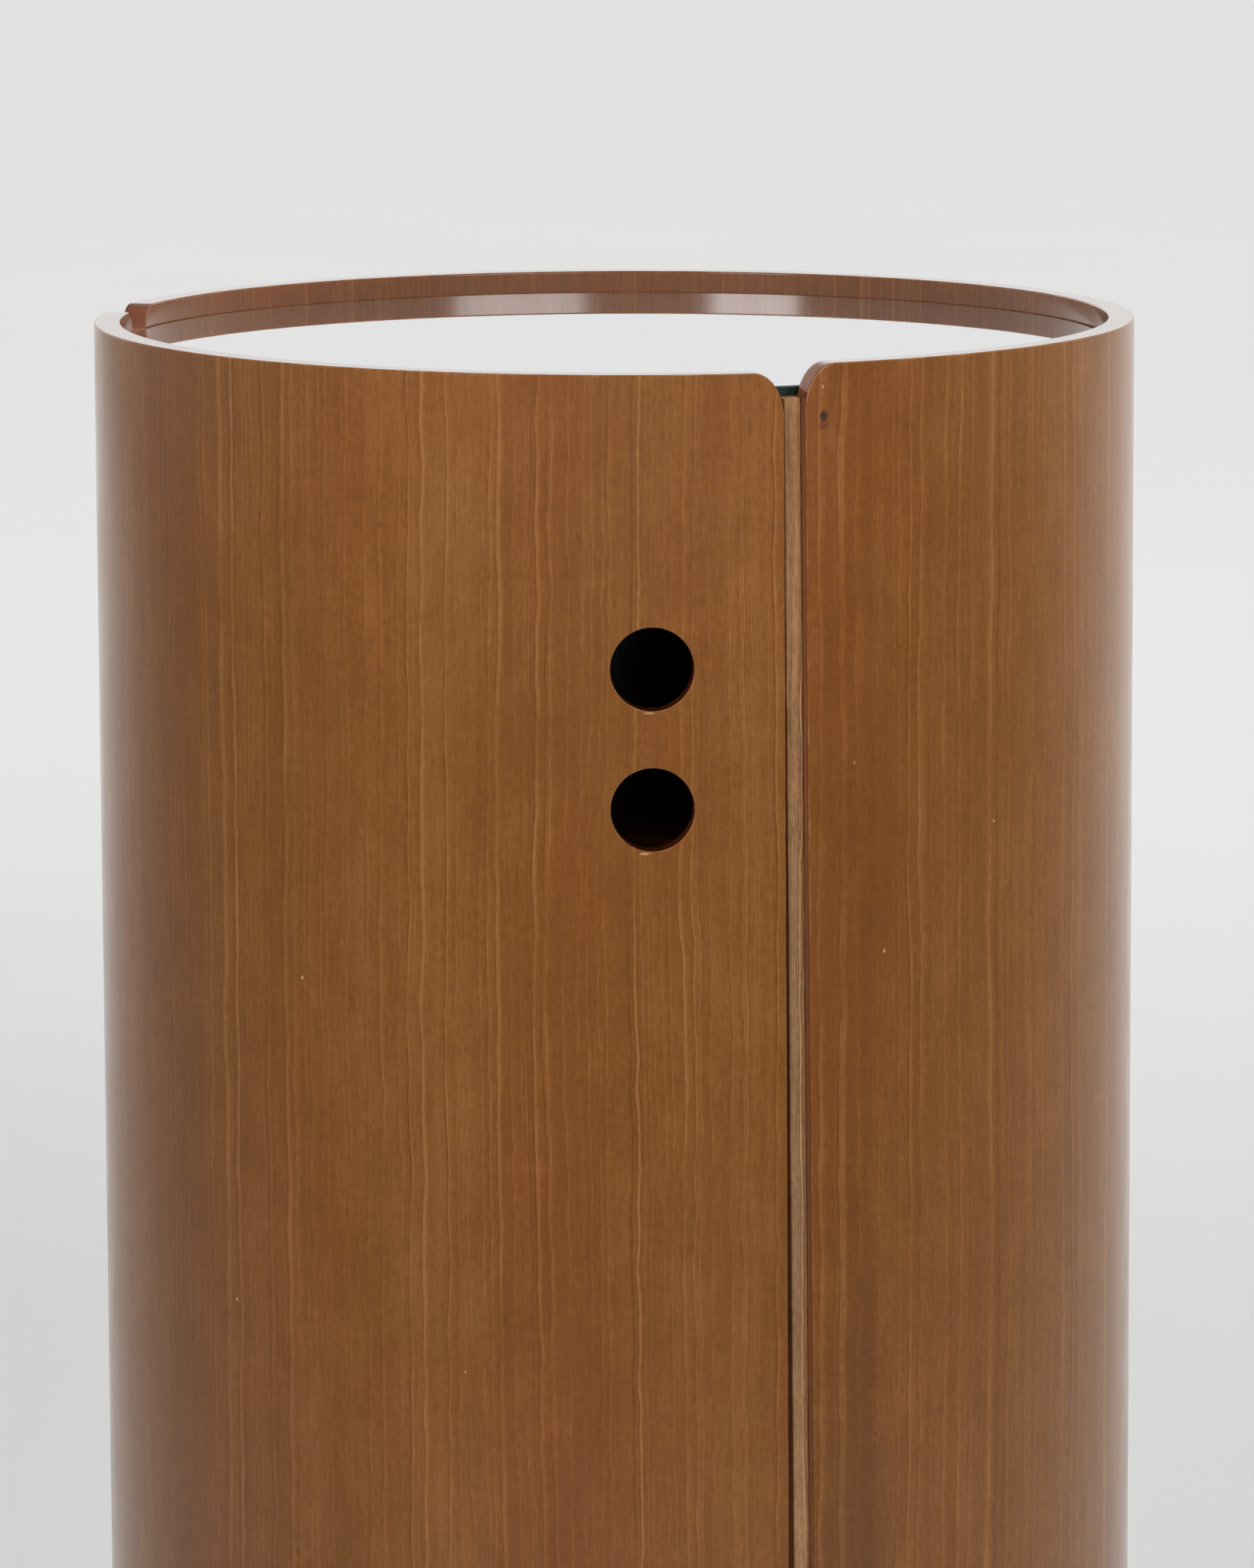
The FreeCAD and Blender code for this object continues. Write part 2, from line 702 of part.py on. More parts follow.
def hinge_parts():
    """Fixed leaf, door leaf and pin of each hinge, by name."""
    parts = {}
    for name, middle in zip(HINGE_NAMES, hinge_middles()):
        low = middle - LEAF_HEIGHT / 2
        pin = disc(PIN_RADIUS, low, low + LEAF_HEIGHT)
        fixed = bored(leaf(middle, 0, fixed_plate), fixed_leaf_screws())
        door = bored(leaf(middle, 1, door_plate), door_leaf_screws())
        parts[name + "_hinge_fixed_leaf"] = fixed
        parts[name + "_hinge_door_leaf"] = door
        parts[name + "_hinge_pin"] = placed(pin, INNER_RADIUS, HINGE_DEG)
    return parts


# Magnetic catch, made with the outside towards -Y from its own front face

def strike_back():
    """Distance from the cabinet's axis of the flat pocket that the strike plate lies in."""
    return INNER_RADIUS + STRIKE_RECESS


def catch_front():
    """Distance from the cabinet's axis of the poles' faces."""
    return strike_back() - STRIKE_THICKNESS - CATCH_AIR_GAP


def pole_slot_height():
    return MAGNET_THICKNESS + 2 * POLE_THICKNESS


def catch_middle():
    """Height of the middle of the poles."""
    return TOP_PANEL_UNDERSIDE - CATCH_HEIGHT / 2


def catch_housing():
    """Block with a slot for the poles and two screw lugs."""
    half = CATCH_WIDTH / 2
    body_half = half - CATCH_LUG_WIDTH
    slot = pole_slot_height() / 2
    middle = -CATCH_HEIGHT / 2
    body = box(-body_half, body_half, POLE_PROUD, CATCH_DEPTH, -CATCH_HEIGHT, 0)
    lugs = box(-half, half, POLE_PROUD, CATCH_DEPTH, -CATCH_LUG_THICKNESS, 0)
    pole_half = POLE_WIDTH / 2 - POLE_THICKNESS
    pocket = box(
        -pole_half, pole_half, 0, CATCH_DEPTH - CATCH_LUG_THICKNESS, middle - slot, middle + slot
    )
    housing = body.fuse(lugs).removeSplitter().cut(pocket)
    housing.translate(Vector(0, 0, TOP_PANEL_UNDERSIDE))
    return bored(placed(housing, catch_front(), CATCH_DEG), catch_screws())


def catch_bar(near, low, high):
    """Flat bar inside the housing's slot."""
    half = POLE_WIDTH / 2 - POLE_THICKNESS
    bar = box(-half, half, near, CATCH_DEPTH - CATCH_LUG_THICKNESS, low, high)
    return placed(bar, catch_front(), CATCH_DEG)


def catch_poles():
    middle = catch_middle()
    inner = MAGNET_THICKNESS / 2
    outer = inner + POLE_THICKNESS
    return [
        catch_bar(0, middle + inner, middle + outer),
        catch_bar(0, middle - outer, middle - inner),
    ]


def catch_magnet():
    middle = catch_middle()
    half = MAGNET_THICKNESS / 2
    return catch_bar(POLE_PROUD, middle - half, middle + half)


def catch_screws():
    screw = wood_screw(CATCH_SCREW_LENGTH)
    low = TOP_PANEL_UNDERSIDE - CATCH_LUG_THICKNESS
    aside = (CATCH_WIDTH - CATCH_LUG_WIDTH) / 2
    depth = (POLE_PROUD + CATCH_DEPTH) / 2
    return [
        placed(aimed(screw, Vector(x, depth, low), UP), catch_front(), CATCH_DEG)
        for x in (-aside, aside)
    ]


def strike_block(depth, margin):
    """Flat block on the pocket's floor: the plate, or the deeper room for it."""
    half = STRIKE_WIDTH / 2 + margin
    middle = catch_middle()
    rise = STRIKE_HEIGHT / 2 + margin
    block = box(-half, half, 0, depth, middle - rise, middle + rise)
    return placed(block, strike_back(), CATCH_DEG)


def catch_strike():
    return bored(strike_block(STRIKE_THICKNESS, 0), strike_screws())


def strike_screws():
    screw = wood_screw(STRIKE_SCREW_LENGTH)
    aside = STRIKE_SCREW_SPACING / 2
    direction = Vector(0, -1, 0)
    return [
        placed(
            aimed(screw, Vector(x, STRIKE_THICKNESS, catch_middle()), direction),
            strike_back(),
            CATCH_DEG,
        )
        for x in (-aside, aside)
    ]


def nodes():
    """Every sub-part by name; a list is a group of separate solids."""
    made = {
        "fixed_shell": fixed_shell(),
        "front_batten": front_batten(),
        "hinge_stile": hinge_stile(),
        "top_disc": top_disc(),
        "mirror_top": mirror_top(),
        "bottom_disc": bottom_disc(),
        "top_blocks": top_blocks(),
        "bottom_blocks": bottom_blocks(),
        "plinth_ring": plinth_ring(),
        "plinth_blocks": plinth_blocks(),
        "floor_glides": floor_glides(),
        "lower_shelf": shelf(LOWER_SHELF_UNDERSIDE),
        "upper_shelf": shelf(UPPER_SHELF_UNDERSIDE),
        "shelf_cleats": shelf_cleats(),
        "hinge_screws_fixed": fixed_leaf_screws(),
        "catch_housing": catch_housing(),
        "catch_poles": catch_poles(),
        "catch_magnet": catch_magnet(),
        "catch_screws": catch_screws(),
        "door_shell": door_shell(),
        "hinge_screws_door": door_leaf_screws(),
        "catch_strike": catch_strike(),
        "strike_screws": strike_screws(),
        "lower_tray": tray(LOWER_TRAY_UNDERSIDE),
        "upper_tray": tray(UPPER_TRAY_UNDERSIDE),
        "tray_cleats": tray_cleats(),
        "tray_screws": tray_screws(),
        "gallery_posts": gallery_posts(),
        "gallery_rails": gallery_rails(),
    }
    made.update(hinge_parts())
    return made


os.makedirs("parts", exist_ok=True)
for node, solids in nodes().items():
    shape = Part.makeCompound(solids) if isinstance(solids, list) else solids
    shape.exportStep("parts/" + node + ".step")
    print(node, len(shape.Solids), "solids", round(shape.Volume), "mm3", shape.isValid())
print("hinge axis", on_circle(INNER_RADIUS, HINGE_DEG, 0))
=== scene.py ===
"""Looks of the round bar cabinet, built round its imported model. Metres, +Z up, origin on the floor."""
import math
import bpy
from mathutils import Matrix, Vector
from mathutils.geometry import delaunay_2d_cdt


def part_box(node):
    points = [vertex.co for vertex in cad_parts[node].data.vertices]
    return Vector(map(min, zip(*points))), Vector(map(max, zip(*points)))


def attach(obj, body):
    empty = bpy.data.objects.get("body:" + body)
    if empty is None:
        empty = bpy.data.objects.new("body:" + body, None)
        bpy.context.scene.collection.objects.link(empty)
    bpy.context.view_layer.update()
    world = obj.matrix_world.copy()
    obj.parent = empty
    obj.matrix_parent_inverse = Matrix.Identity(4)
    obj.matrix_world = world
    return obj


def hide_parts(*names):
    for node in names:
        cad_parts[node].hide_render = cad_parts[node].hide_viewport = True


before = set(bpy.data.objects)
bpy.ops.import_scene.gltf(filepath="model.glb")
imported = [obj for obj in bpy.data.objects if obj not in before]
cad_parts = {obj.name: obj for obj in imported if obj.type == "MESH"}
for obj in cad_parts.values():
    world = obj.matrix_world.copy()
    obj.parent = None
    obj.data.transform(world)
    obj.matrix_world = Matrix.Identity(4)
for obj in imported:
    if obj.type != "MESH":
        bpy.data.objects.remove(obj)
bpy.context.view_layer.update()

MM = 0.001

# Sizes that the frame gives
SHELL_LOW, SHELL_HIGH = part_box("fixed_shell")
OUTER = SHELL_HIGH.x
RIM_TOP = SHELL_HIGH.z
SHELL_BOTTOM = SHELL_LOW.z
MIRROR_LOW, MIRROR_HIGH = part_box("mirror_top")
PLINTH_LOW, PLINTH_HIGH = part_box("plinth_ring")

# Sizes of the curved walls. Angles run from the front towards the right
WALL = 12.5 * MM
INNER = OUTER - WALL
FIXED_FRONT_DEG = 20.95
FIXED_EDGE_LEAN_DEG = 0.43
FIXED_REAR_DEG = 255.46
DOOR_FREE_DEG = 18.2
DOOR_EDGE_LEAN_DEG = 0.17
DOOR_HINGE_DEG = -100.2
NOTCH_CORNER_WIDTH = 14.5 * MM
NOTCH_CORNER_HEIGHT = 21 * MM
DOOR_RIM_FALL = 3.5 * MM
RIM_ARRIS = 0.9 * MM
HOLE_ARRIS = 0.7 * MM
HOLE_RADIUS = 19.1 * MM
HOLE_DEG = 3.8
HOLE_HEIGHTS = (762.8 * MM, 698.4 * MM)
STRIKE_DEG = 4.0
STRIKE_POCKET = (48.6 * MM, 12.6 * MM)
STRIKE_POCKET_HEIGHT = 859.5 * MM
STRIKE_POCKET_FLOOR = INNER + 0.5 * MM
STRIKE_POCKET_EDGE = 0.5

# Sizes of the round pieces
GLASS_ARRIS = 0.6 * MM
PLINTH_WALL = 18 * MM
PLINTH_ARRIS = 0.8 * MM
PLINTH_SHARP_DEG = 35

# How finely the shapes are divided
COLUMN_DEG = 1.5
ROW = 22 * MM
CORNER_STEPS = 14
HOLE_STEPS = 72
ARRIS_STEPS = 3
POCKET_STEPS = 6
PANE_STEPS = 180
PLINTH_STEPS = 120
CLEAR_OF_OUTLINE = 2.4 * MM
NET_TOLERANCE = 1e-7
MITRE_LIMIT = 0.5


def turn_of(deg):
    return math.radians(deg)


def on_wall(turn, radius, height):
    """Point at an angle from the front, towards the right."""
    return Vector((radius * math.sin(turn), -radius * math.cos(turn), height))


def outward(turn):
    return Vector((math.sin(turn), -math.cos(turn), 0))


def along(turn):
    """Direction of growing angle."""
    return Vector((math.cos(turn), math.sin(turn), 0))


def new_object(name, mesh, materials, body, replaced):
    made = bpy.data.objects.new(name, mesh)
    bpy.context.scene.collection.objects.link(made)
    for material in materials:
        mesh.materials.append(material)
    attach(made, body)
    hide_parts(*replaced)
    return made


# Curved walls, drawn flat as angle times radius and height, then bent

class Loop:
    """Closed outline of a wall or of a hole in it. Each point has a normal into the wood."""

    def __init__(self, points, bend, arris):
        self.points = points
        self.bend = bend
        self.arris = arris
        self.normals = []
        count = len(points)
        for i in range(count):
            before = points[i] - points[i - 1]
            after = points[(i + 1) % count] - points[i]
            left = before.normalized() + after.normalized()
            normal = Vector((-left.y, left.x)).normalized()
            stretch = max(MITRE_LIMIT, normal.dot(Vector((-before.y, before.x)).normalized()))
            self.normals.append(normal / stretch)

    def inset(self, i, by):
        return self.points[i] + self.normals[i] * by


def bend_edge(point, depth):
    """Angle and height of a point of the outer outline: its angle is the same right through the wall."""
    return point.x / OUTER, point.y


def bend_hole(point, depth):
    """A hole runs straight, so that its width is the same right through the wall."""
    return turn_of(HOLE_DEG) + math.asin(point.x / (OUTER - depth)), point.y


def bend_pocket(point, depth):
    """The pocket's sides run straight too."""
    return turn_of(STRIKE_DEG) + math.asin(point.x / (OUTER - depth)), point.y


def corner_points(centre, start, end):
    """Points along a quarter of the notch's oval, ends included."""
    points = []
    for i in range(CORNER_STEPS + 1):
        turn = start + (end - start) * i / CORNER_STEPS
        across = NOTCH_CORNER_WIDTH * math.cos(turn)
        points.append(centre + Vector((across, NOTCH_CORNER_HEIGHT * math.sin(turn))))
    return points


def edge_at(deg, lean_deg, height):
    """Where an edge that may lean lies along the wall. Its angle is given at mid height."""
    middle = (SHELL_BOTTOM + RIM_TOP) / 2
    return turn_of(deg) * OUTER + (middle - height) * math.tan(turn_of(lean_deg))


def between(a, b, steps):
    """Points of a straight stretch, ends left out."""
    return [a + (b - a) * i / steps for i in range(1, steps)]


def wall_outline(first_edge, last_edge, top_at):
    """Outline of a wall with rounded upper corners, its wood on the left as the points run."""
    columns = math.ceil((last_edge[0] - first_edge[0]) / COLUMN_DEG)
    rows = math.ceil((RIM_TOP - SHELL_BOTTOM) / ROW)
    corners = []
    for edge, side in ((first_edge, 1), (last_edge, -1)):
        inner = edge_at(*edge, RIM_TOP) + side * NOTCH_CORNER_WIDTH
        low = top_at(inner) - NOTCH_CORNER_HEIGHT
        corners.append(Vector((edge_at(*edge, low) + side * NOTCH_CORNER_WIDTH, low)))
    left, right = corners
    left_foot = Vector((edge_at(*first_edge, SHELL_BOTTOM), SHELL_BOTTOM))
    right_foot = Vector((edge_at(*last_edge, SHELL_BOTTOM), SHELL_BOTTOM))
    right_arc = corner_points(right, 0, math.pi / 2)
    left_arc = corner_points(left, math.pi / 2, math.pi)
    rim = [Vector((point.x, top_at(point.x))) for point in between(right_arc[-1], left_arc[0], columns)]
    points = [left_foot] + between(left_foot, right_foot, columns) + [right_foot]
    points += between(right_foot, right_arc[0], rows) + right_arc + rim + left_arc
    return points + between(left_arc[-1], left_foot, rows)


def circle_outline(radius, height):
    """Outline of a hole, run the other way round so that the wood is on its left."""
    step = 2 * math.pi / HOLE_STEPS
    return [
        Vector((radius * math.cos(-i * step), height + radius * math.sin(-i * step)))
        for i in range(HOLE_STEPS)
    ]


def rectangle_outline(width, rise, height):
    """Outline of a pocket, its sides divided, run so that the wood is on its left."""
    corners = [(-1, -1), (-1, 1), (1, 1), (1, -1)]
    points = []
    for (x0, y0), (x1, y1) in zip(corners, corners[1:] + corners[:1]):
        for i in range(POCKET_STEPS):
            share = i / POCKET_STEPS
            x = (x0 + (x1 - x0) * share) * width / 2
            y = (y0 + (y1 - y0) * share) * rise / 2
            points.append(Vector((x, height + y)))
    return points


def arris_profile(radius, depth):
    """(inset, depth, turn of the normal) from the outer face over both arrises to the inner face."""
    profile = []
    for i in range(ARRIS_STEPS + 1):
        turn = math.pi / 2 * i / ARRIS_STEPS
        profile.append((radius * (1 - math.sin(turn)), radius * (1 - math.cos(turn)), turn))
    for i in range(ARRIS_STEPS + 1):
        turn = math.pi / 2 + math.pi / 2 * i / ARRIS_STEPS
        profile.append((radius * (1 - math.sin(turn)), depth - radius * (1 + math.cos(turn)), turn))
    return profile


class Wall:
    """Gathers the mesh of one curved wall."""

    def __init__(self):
        self.places = []
        self.normals = []
        self.grain = []
        self.edge = []
        self.faces = []

    def add(self, turn, radius, height, normal, edge):
        """Adds a point and gives its number. Edge is 0 on the faces and 1 in the middle of an edge."""
        self.places.append(on_wall(turn, radius, height))
        self.normals.append(normal.normalized())
        self.grain.append(Vector((turn * OUTER, height, OUTER - radius)))
        self.edge.append(edge)
        return len(self.places) - 1

    def face(self, loops, depth, grid, edge_rows):
        """Flat net of triangles between the loops, bent to the wall's outer or inner face."""
        flat = []
        for loop in loops:
            for i in range(len(loop.points)):
                turn, height = loop.bend(loop.inset(i, loop.arris), depth)
                flat.append(Vector((turn * OUTER, height)))
        known = [index for row in edge_rows for index in row]
        edges, at = [], 0
        for row in edge_rows:
            edges += [(at + i, at + (i + 1) % len(row)) for i in range(len(row))]
            at += len(row)
        holes = [[flat[i] for i in span] for span in hole_spans(edge_rows)]
        side = 1 if depth < WALL / 2 else -1
        for point in grid:
            if all(clear_of(point, flat[i]) for i in range(at)):
                flat.append(point)
                turn = point.x / OUTER
                known.append(self.add(turn, OUTER - depth, point.y, outward(turn) * side, 0.0))
        places, _, triangles, _, _, _ = delaunay_2d_cdt(flat, edges, [], 1, NET_TOLERANCE)
        assert len(places) == len(flat), "the net of a wall gained a point"
        for triangle in triangles:
            middle = sum((flat[i] for i in triangle), Vector((0, 0))) / 3
            if any(inside(middle, hole) for hole in holes):
                continue
            corners = [known[i] for i in triangle]
            self.faces.append(corners if side > 0 else corners[::-1])

    def rim(self, loop, profile):
        """Rounded edge along one loop. Gives the rows of its first and last points."""
        rows = []
        for inset, depth, turn_in in profile:
            row = []
            for i in range(len(loop.points)):
                turn, height = loop.bend(loop.inset(i, inset), depth)
                into = loop.normals[i].normalized()
                side = along(turn) * -into.x + Vector((0, 0, -into.y))
                normal = outward(turn) * math.cos(turn_in) + side * math.sin(turn_in)
                row.append(self.add(turn, OUTER - depth, height, normal, math.sin(turn_in)))
            rows.append(row)
        for near, far in zip(rows, rows[1:]):
            count = len(near)
            for i in range(count):
                j = (i + 1) % count
                self.faces.append([near[i], far[i], far[j], near[j]])
        return rows[0], rows[-1]

    def mesh(self, name):
        made = bpy.data.meshes.new(name)
        made.from_pydata(self.places, [], self.faces)
        made.update()
        grain = made.attributes.new("grain", "FLOAT_VECTOR", "POINT")
        grain.data.foreach_set("vector", [x for place in self.grain for x in place])
        edge = made.attributes.new("edge", "FLOAT", "POINT")
        edge.data.foreach_set("value", self.edge)
        made.shade_smooth()
        made.normals_split_custom_set_from_vertices(self.normals)
        return made


def clear_of(point, other):
    return abs(point.x - other.x) > CLEAR_OF_OUTLINE or abs(point.y - other.y) > CLEAR_OF_OUTLINE


def hole_spans(rows):
    """Index ranges of the rows after the first, which run round holes."""
    spans, at = [], len(rows[0])
    for row in rows[1:]:
        spans.append(range(at, at + len(row)))
        at += len(row)
    return spans


def inside(point, outline):
    """True where a point lies inside a closed outline."""
    odd = False
    for a, b in zip(outline, outline[1:] + outline[:1]):
        if (a.y > point.y) != (b.y > point.y):
            if point.x < (b.x - a.x) * (point.y - a.y) / (b.y - a.y) + a.x:
                odd = not odd
    return odd


def wall_grid(first_edge, last_edge, top_at, holes):
    """Points inside a wall's outline, in columns."""
    margin = RIM_ARRIS + CLEAR_OF_OUTLINE
    first = turn_of(first_edge[0]) * OUTER
    last = turn_of(last_edge[0]) * OUTER
    columns = math.ceil((last_edge[0] - first_edge[0]) / COLUMN_DEG)
    grid = []
    for i in range(1, columns):
        x = first + (last - first) * i / columns
        top = top_at(x) - margin
        if min(x - first, last - x) < NOTCH_CORNER_WIDTH:
            top -= NOTCH_CORNER_HEIGHT
        rows = math.ceil((top - SHELL_BOTTOM - margin) / ROW)
        for j in range(rows + 1):
            point = Vector((x, SHELL_BOTTOM + margin + (top - SHELL_BOTTOM - margin) * j / rows))
            if not any(inside(point, hole) for hole in holes):
                grid.append(point)
    return grid


def flat_outline(loop, depth):
    """A loop's outline on the flat drawing of the face at that depth."""
    points = []
    for point in loop.points:
        turn, height = loop.bend(point, depth)
        points.append(Vector((turn * OUTER, height)))
    return points


def build_wall(name, first_edge, last_edge, top_at, holes=(), pockets=()):
    """A bent wall with rounded edges, straight holes, and pockets in its inner face."""
    wall = Wall()
    loops = [Loop(wall_outline(first_edge, last_edge, top_at), bend_edge, RIM_ARRIS)]
    loops += [Loop(outline, bend_hole, HOLE_ARRIS) for outline in holes]
    outer_rows, inner_rows = [], []
    for loop in loops:
        near, far = wall.rim(loop, arris_profile(loop.arris, WALL))
        outer_rows.append(near)
        inner_rows.append(far)
    hole_areas = [flat_outline(loop, 0) for loop in loops[1:]]
    wall.face(loops, 0, wall_grid(first_edge, last_edge, top_at, hole_areas), outer_rows)
    for outline in pockets:
        loop = Loop(outline, bend_pocket, 0)
        loops.append(loop)
        inner_rows.append(pocket(wall, loop))
    inner_areas = [flat_outline(loop, WALL) for loop in loops[1:]]
    wall.face(loops, WALL, wall_grid(first_edge, last_edge, top_at, inner_areas), inner_rows)
    return wall.mesh(name)


def pocket(wall, loop):
    """Sides and flat floor of a pocket. Gives the row of points at the inner face."""
    normal = -outward(turn_of(STRIKE_DEG))
    mouth, bottom = [], []
    for point in loop.points:
        turn, height = loop.bend(point, WALL)
        mouth.append(wall.add(turn, INNER, height, normal, 0.0))
        reach = math.hypot(point.x, STRIKE_POCKET_FLOOR)
        bottom_turn = turn_of(STRIKE_DEG) + math.atan2(point.x, STRIKE_POCKET_FLOOR)
        bottom.append(wall.add(bottom_turn, reach, height, normal, STRIKE_POCKET_EDGE))
    count = len(mouth)
    for i in range(count):
        j = (i + 1) % count
        wall.faces.append([mouth[j], bottom[j], bottom[i], mouth[i]])
    wall.faces.append(bottom)
    return mouth


def level_top(x):
    return RIM_TOP


def door_top(x):
    """The door's rim falls towards its free edge, along the chord between its two edges."""
    start = on_wall(turn_of(DOOR_HINGE_DEG), OUTER, 0)
    run = on_wall(turn_of(DOOR_FREE_DEG), OUTER, 0) - start
    share = (on_wall(x / OUTER, OUTER, 0) - start).dot(run) / run.length_squared
    return RIM_TOP - DOOR_RIM_FALL * share


# Round pieces, turned from a profile of (radius, height)

# Materials of the pane, in their order
PANE_FACE, PANE_ARRIS, PANE_EDGE = range(3)


def turned_places(profile, steps):
    """The profile's points, station by station round the middle."""
    return [on_wall(2 * math.pi * i / steps, *point) for i in range(steps) for point in profile]


def turned_faces(count, sides, steps):
    """Faces between the stations of a profile with so many points and so many sides."""
    faces = []
    for i in range(steps):
        near, far = i * count, (i + 1) % steps * count
        for j in range(sides):
            k = (j + 1) % count
            faces.append([near + j, far + j, far + k, near + k])
    return faces


def rounded(corners, radius):
    """Profile whose corners are rounded. Corners run anticlockwise."""
    points = []
    count = len(corners)
    for i in range(count):
        here = Vector(corners[i])
        before = (Vector(corners[i - 1]) - here).normalized()
        after = (Vector(corners[(i + 1) % count]) - here).normalized()
        for k in range(ARRIS_STEPS + 1):
            share = k / ARRIS_STEPS
            bow = before * radius * (1 - share) ** 2 + after * radius * share ** 2
            points.append(tuple(here + bow))
    return points


def plinth_mesh():
    """Ring of rectangular section with rounded corners."""
    inner, outer = PLINTH_HIGH.x - PLINTH_WALL, PLINTH_HIGH.x
    low, high = PLINTH_LOW.z, PLINTH_HIGH.z
    profile = rounded([(inner, low), (outer, low), (outer, high), (inner, high)], PLINTH_ARRIS)
    count = len(profile)
    made = bpy.data.meshes.new("plinth_lacquered")
    made.from_pydata(turned_places(profile, PLINTH_STEPS), [], turned_faces(count, count, PLINTH_STEPS))
    made.validate()
    made.update()
    made.shade_smooth()
    made.set_sharp_from_angle(angle=turn_of(PLINTH_SHARP_DEG))
    return made


def pane_mesh():
    """Pane with a mirrored face, an arris round each rim, and its edge."""
    radius = MIRROR_HIGH.x
    profile = [
        (radius - GLASS_ARRIS, MIRROR_LOW.z),
        (radius, MIRROR_LOW.z + GLASS_ARRIS),
        (radius, MIRROR_HIGH.z - GLASS_ARRIS),
        (radius - GLASS_ARRIS, MIRROR_HIGH.z),
    ]
    count = len(profile)
    faces = turned_faces(count, count - 1, PANE_STEPS)
    faces.append([i * count + count - 1 for i in range(PANE_STEPS)])
    faces.append([i * count for i in reversed(range(PANE_STEPS))])
    finish = [PANE_ARRIS, PANE_EDGE, PANE_ARRIS] * PANE_STEPS + [PANE_FACE, PANE_ARRIS]
    made = bpy.data.meshes.new("mirror_pane")
    made.from_pydata(turned_places(profile, PANE_STEPS), [], faces)
    made.polygons.foreach_set("material_index", finish)
    made.update()
    return made


# Node trees

def colour(red, green, blue):
    """Colour given as it looks on a screen, 0 to 255, as light."""
    parts = []
    for value in (red, green, blue):
        value /= 255
        parts.append(value / 12.92 if value <= 0.04045 else ((value + 0.055) / 1.055) ** 2.4)
    return (*parts, 1.0)


class Nodes:
    """Node tree of a material or a world, built from small steps."""

    def __init__(self, owner):
        owner.use_nodes = True
        self.tree = owner.node_tree
        self.tree.nodes.clear()

    def put(self, socket, value):
        if isinstance(value, bpy.types.NodeSocket):
            self.tree.links.new(value, socket)
        else:
            socket.default_value = value

    def add(self, kind, settings, values):
        node = self.tree.nodes.new(kind)
        for name, value in settings.items():
            setattr(node, name, value)
        for key, value in values.items():
            self.put(node.inputs[key], value)
        return node

    def split(self, vector):
        return self.add("ShaderNodeSeparateXYZ", {}, {0: vector}).outputs

    def mix(self, share, a, b, blend="MIX"):
        settings = {"data_type": "RGBA", "blend_type": blend, "clamp_factor": True}
        return self.add("ShaderNodeMix", settings, {0: share, 6: a, 7: b}).outputs[2]


class Shader(Nodes):
    """Node tree of one material. Each step gives its output socket."""

    def __init__(self, name, **surface):
        self.material = bpy.data.materials.new(name)
        super().__init__(self.material)
        self.surface = self.add("ShaderNodeBsdfPrincipled", {}, {})
        self.add("ShaderNodeOutputMaterial", {}, {"Surface": self.surface.outputs["BSDF"]})
        self.use(**surface)

    def place(self):
        """Place in the piece, in metres."""
        return self.add("ShaderNodeTexCoord", {}, {}).outputs["Object"]

    def stored(self, name, output):
        """Value stored with the points of a mesh."""
        return self.add("ShaderNodeAttribute", {"attribute_name": name}, {}).outputs[output]

    def maths(self, operation, a, b=0.0, c=0.0):
        return self.add("ShaderNodeMath", {"operation": operation}, {0: a, 1: b, 2: c}).outputs[0]

    def away(self, value, middle):
        """How far a value is from a middle, on either side."""
        return self.maths("ABSOLUTE", self.maths("SUBTRACT", value, middle))

    def vector(self, x, y, z=0.0):
        return self.add("ShaderNodeCombineXYZ", {}, {0: x, 1: y, 2: z}).outputs[0]

    def stretched(self, vector, scale, shift=(0.0, 0.0, 0.0)):
        values = {0: vector, 1: scale, 2: shift}
        return self.add("ShaderNodeVectorMath", {"operation": "MULTIPLY_ADD"}, values).outputs[0]

    def noise(self, vector, detail=2.0, roughness=0.5):
        """Noise with features about one unit across."""
        values = {"Vector": vector, "Scale": 1.0, "Detail": detail, "Roughness": roughness}
        return self.add("ShaderNodeTexNoise", {}, values).outputs["Fac"]

    def cloud(self, per_metre, detail, roughness=0.5):
        """Noise in a piece, with so many features to a metre of its width, depth and height."""
        return self.noise(self.stretched(self.place(), per_metre), detail, roughness)

    def spread(self, value, low, high, to_low=0.0, to_high=1.0):
        """Value from low to high taken smoothly to another range."""
        values = {0: value, 1: low, 2: high, 3: to_low, 4: to_high}
        return self.add("ShaderNodeMapRange", {"interpolation_type": "SMOOTHSTEP"}, values).outputs[0]

    def tones(self, value, stops):
        """Colours along a value. Stops are (place, colour)."""
        node = self.tree.nodes.new("ShaderNodeValToRGB")
        marks = node.color_ramp.elements
        while len(marks) < len(stops):
            marks.new(0.5)
        for mark, (place, tone) in zip(marks, stops):
            mark.position = place
            mark.color = tone
        self.put(node.inputs[0], value)
        return node.outputs[0]

    def bump(self, height, depth, strength):
        values = {"Strength": strength, "Distance": depth, "Height": height}
        return self.add("ShaderNodeBump", {}, values).outputs[0]

    def use(self, **surface):
        for name, value in surface.items():
            self.put(self.surface.inputs[name.replace("_", " ")], value)
        return self.material


# Wood. Each wood has a dark, a middle and a light tone, and two tints that it drifts between

LACQUER_IOR = 1.5
PORE_TONE = colour(60, 30, 10)
GRAIN_RELIEF = 0.02 * MM
GRAIN_BUMP = 0.3

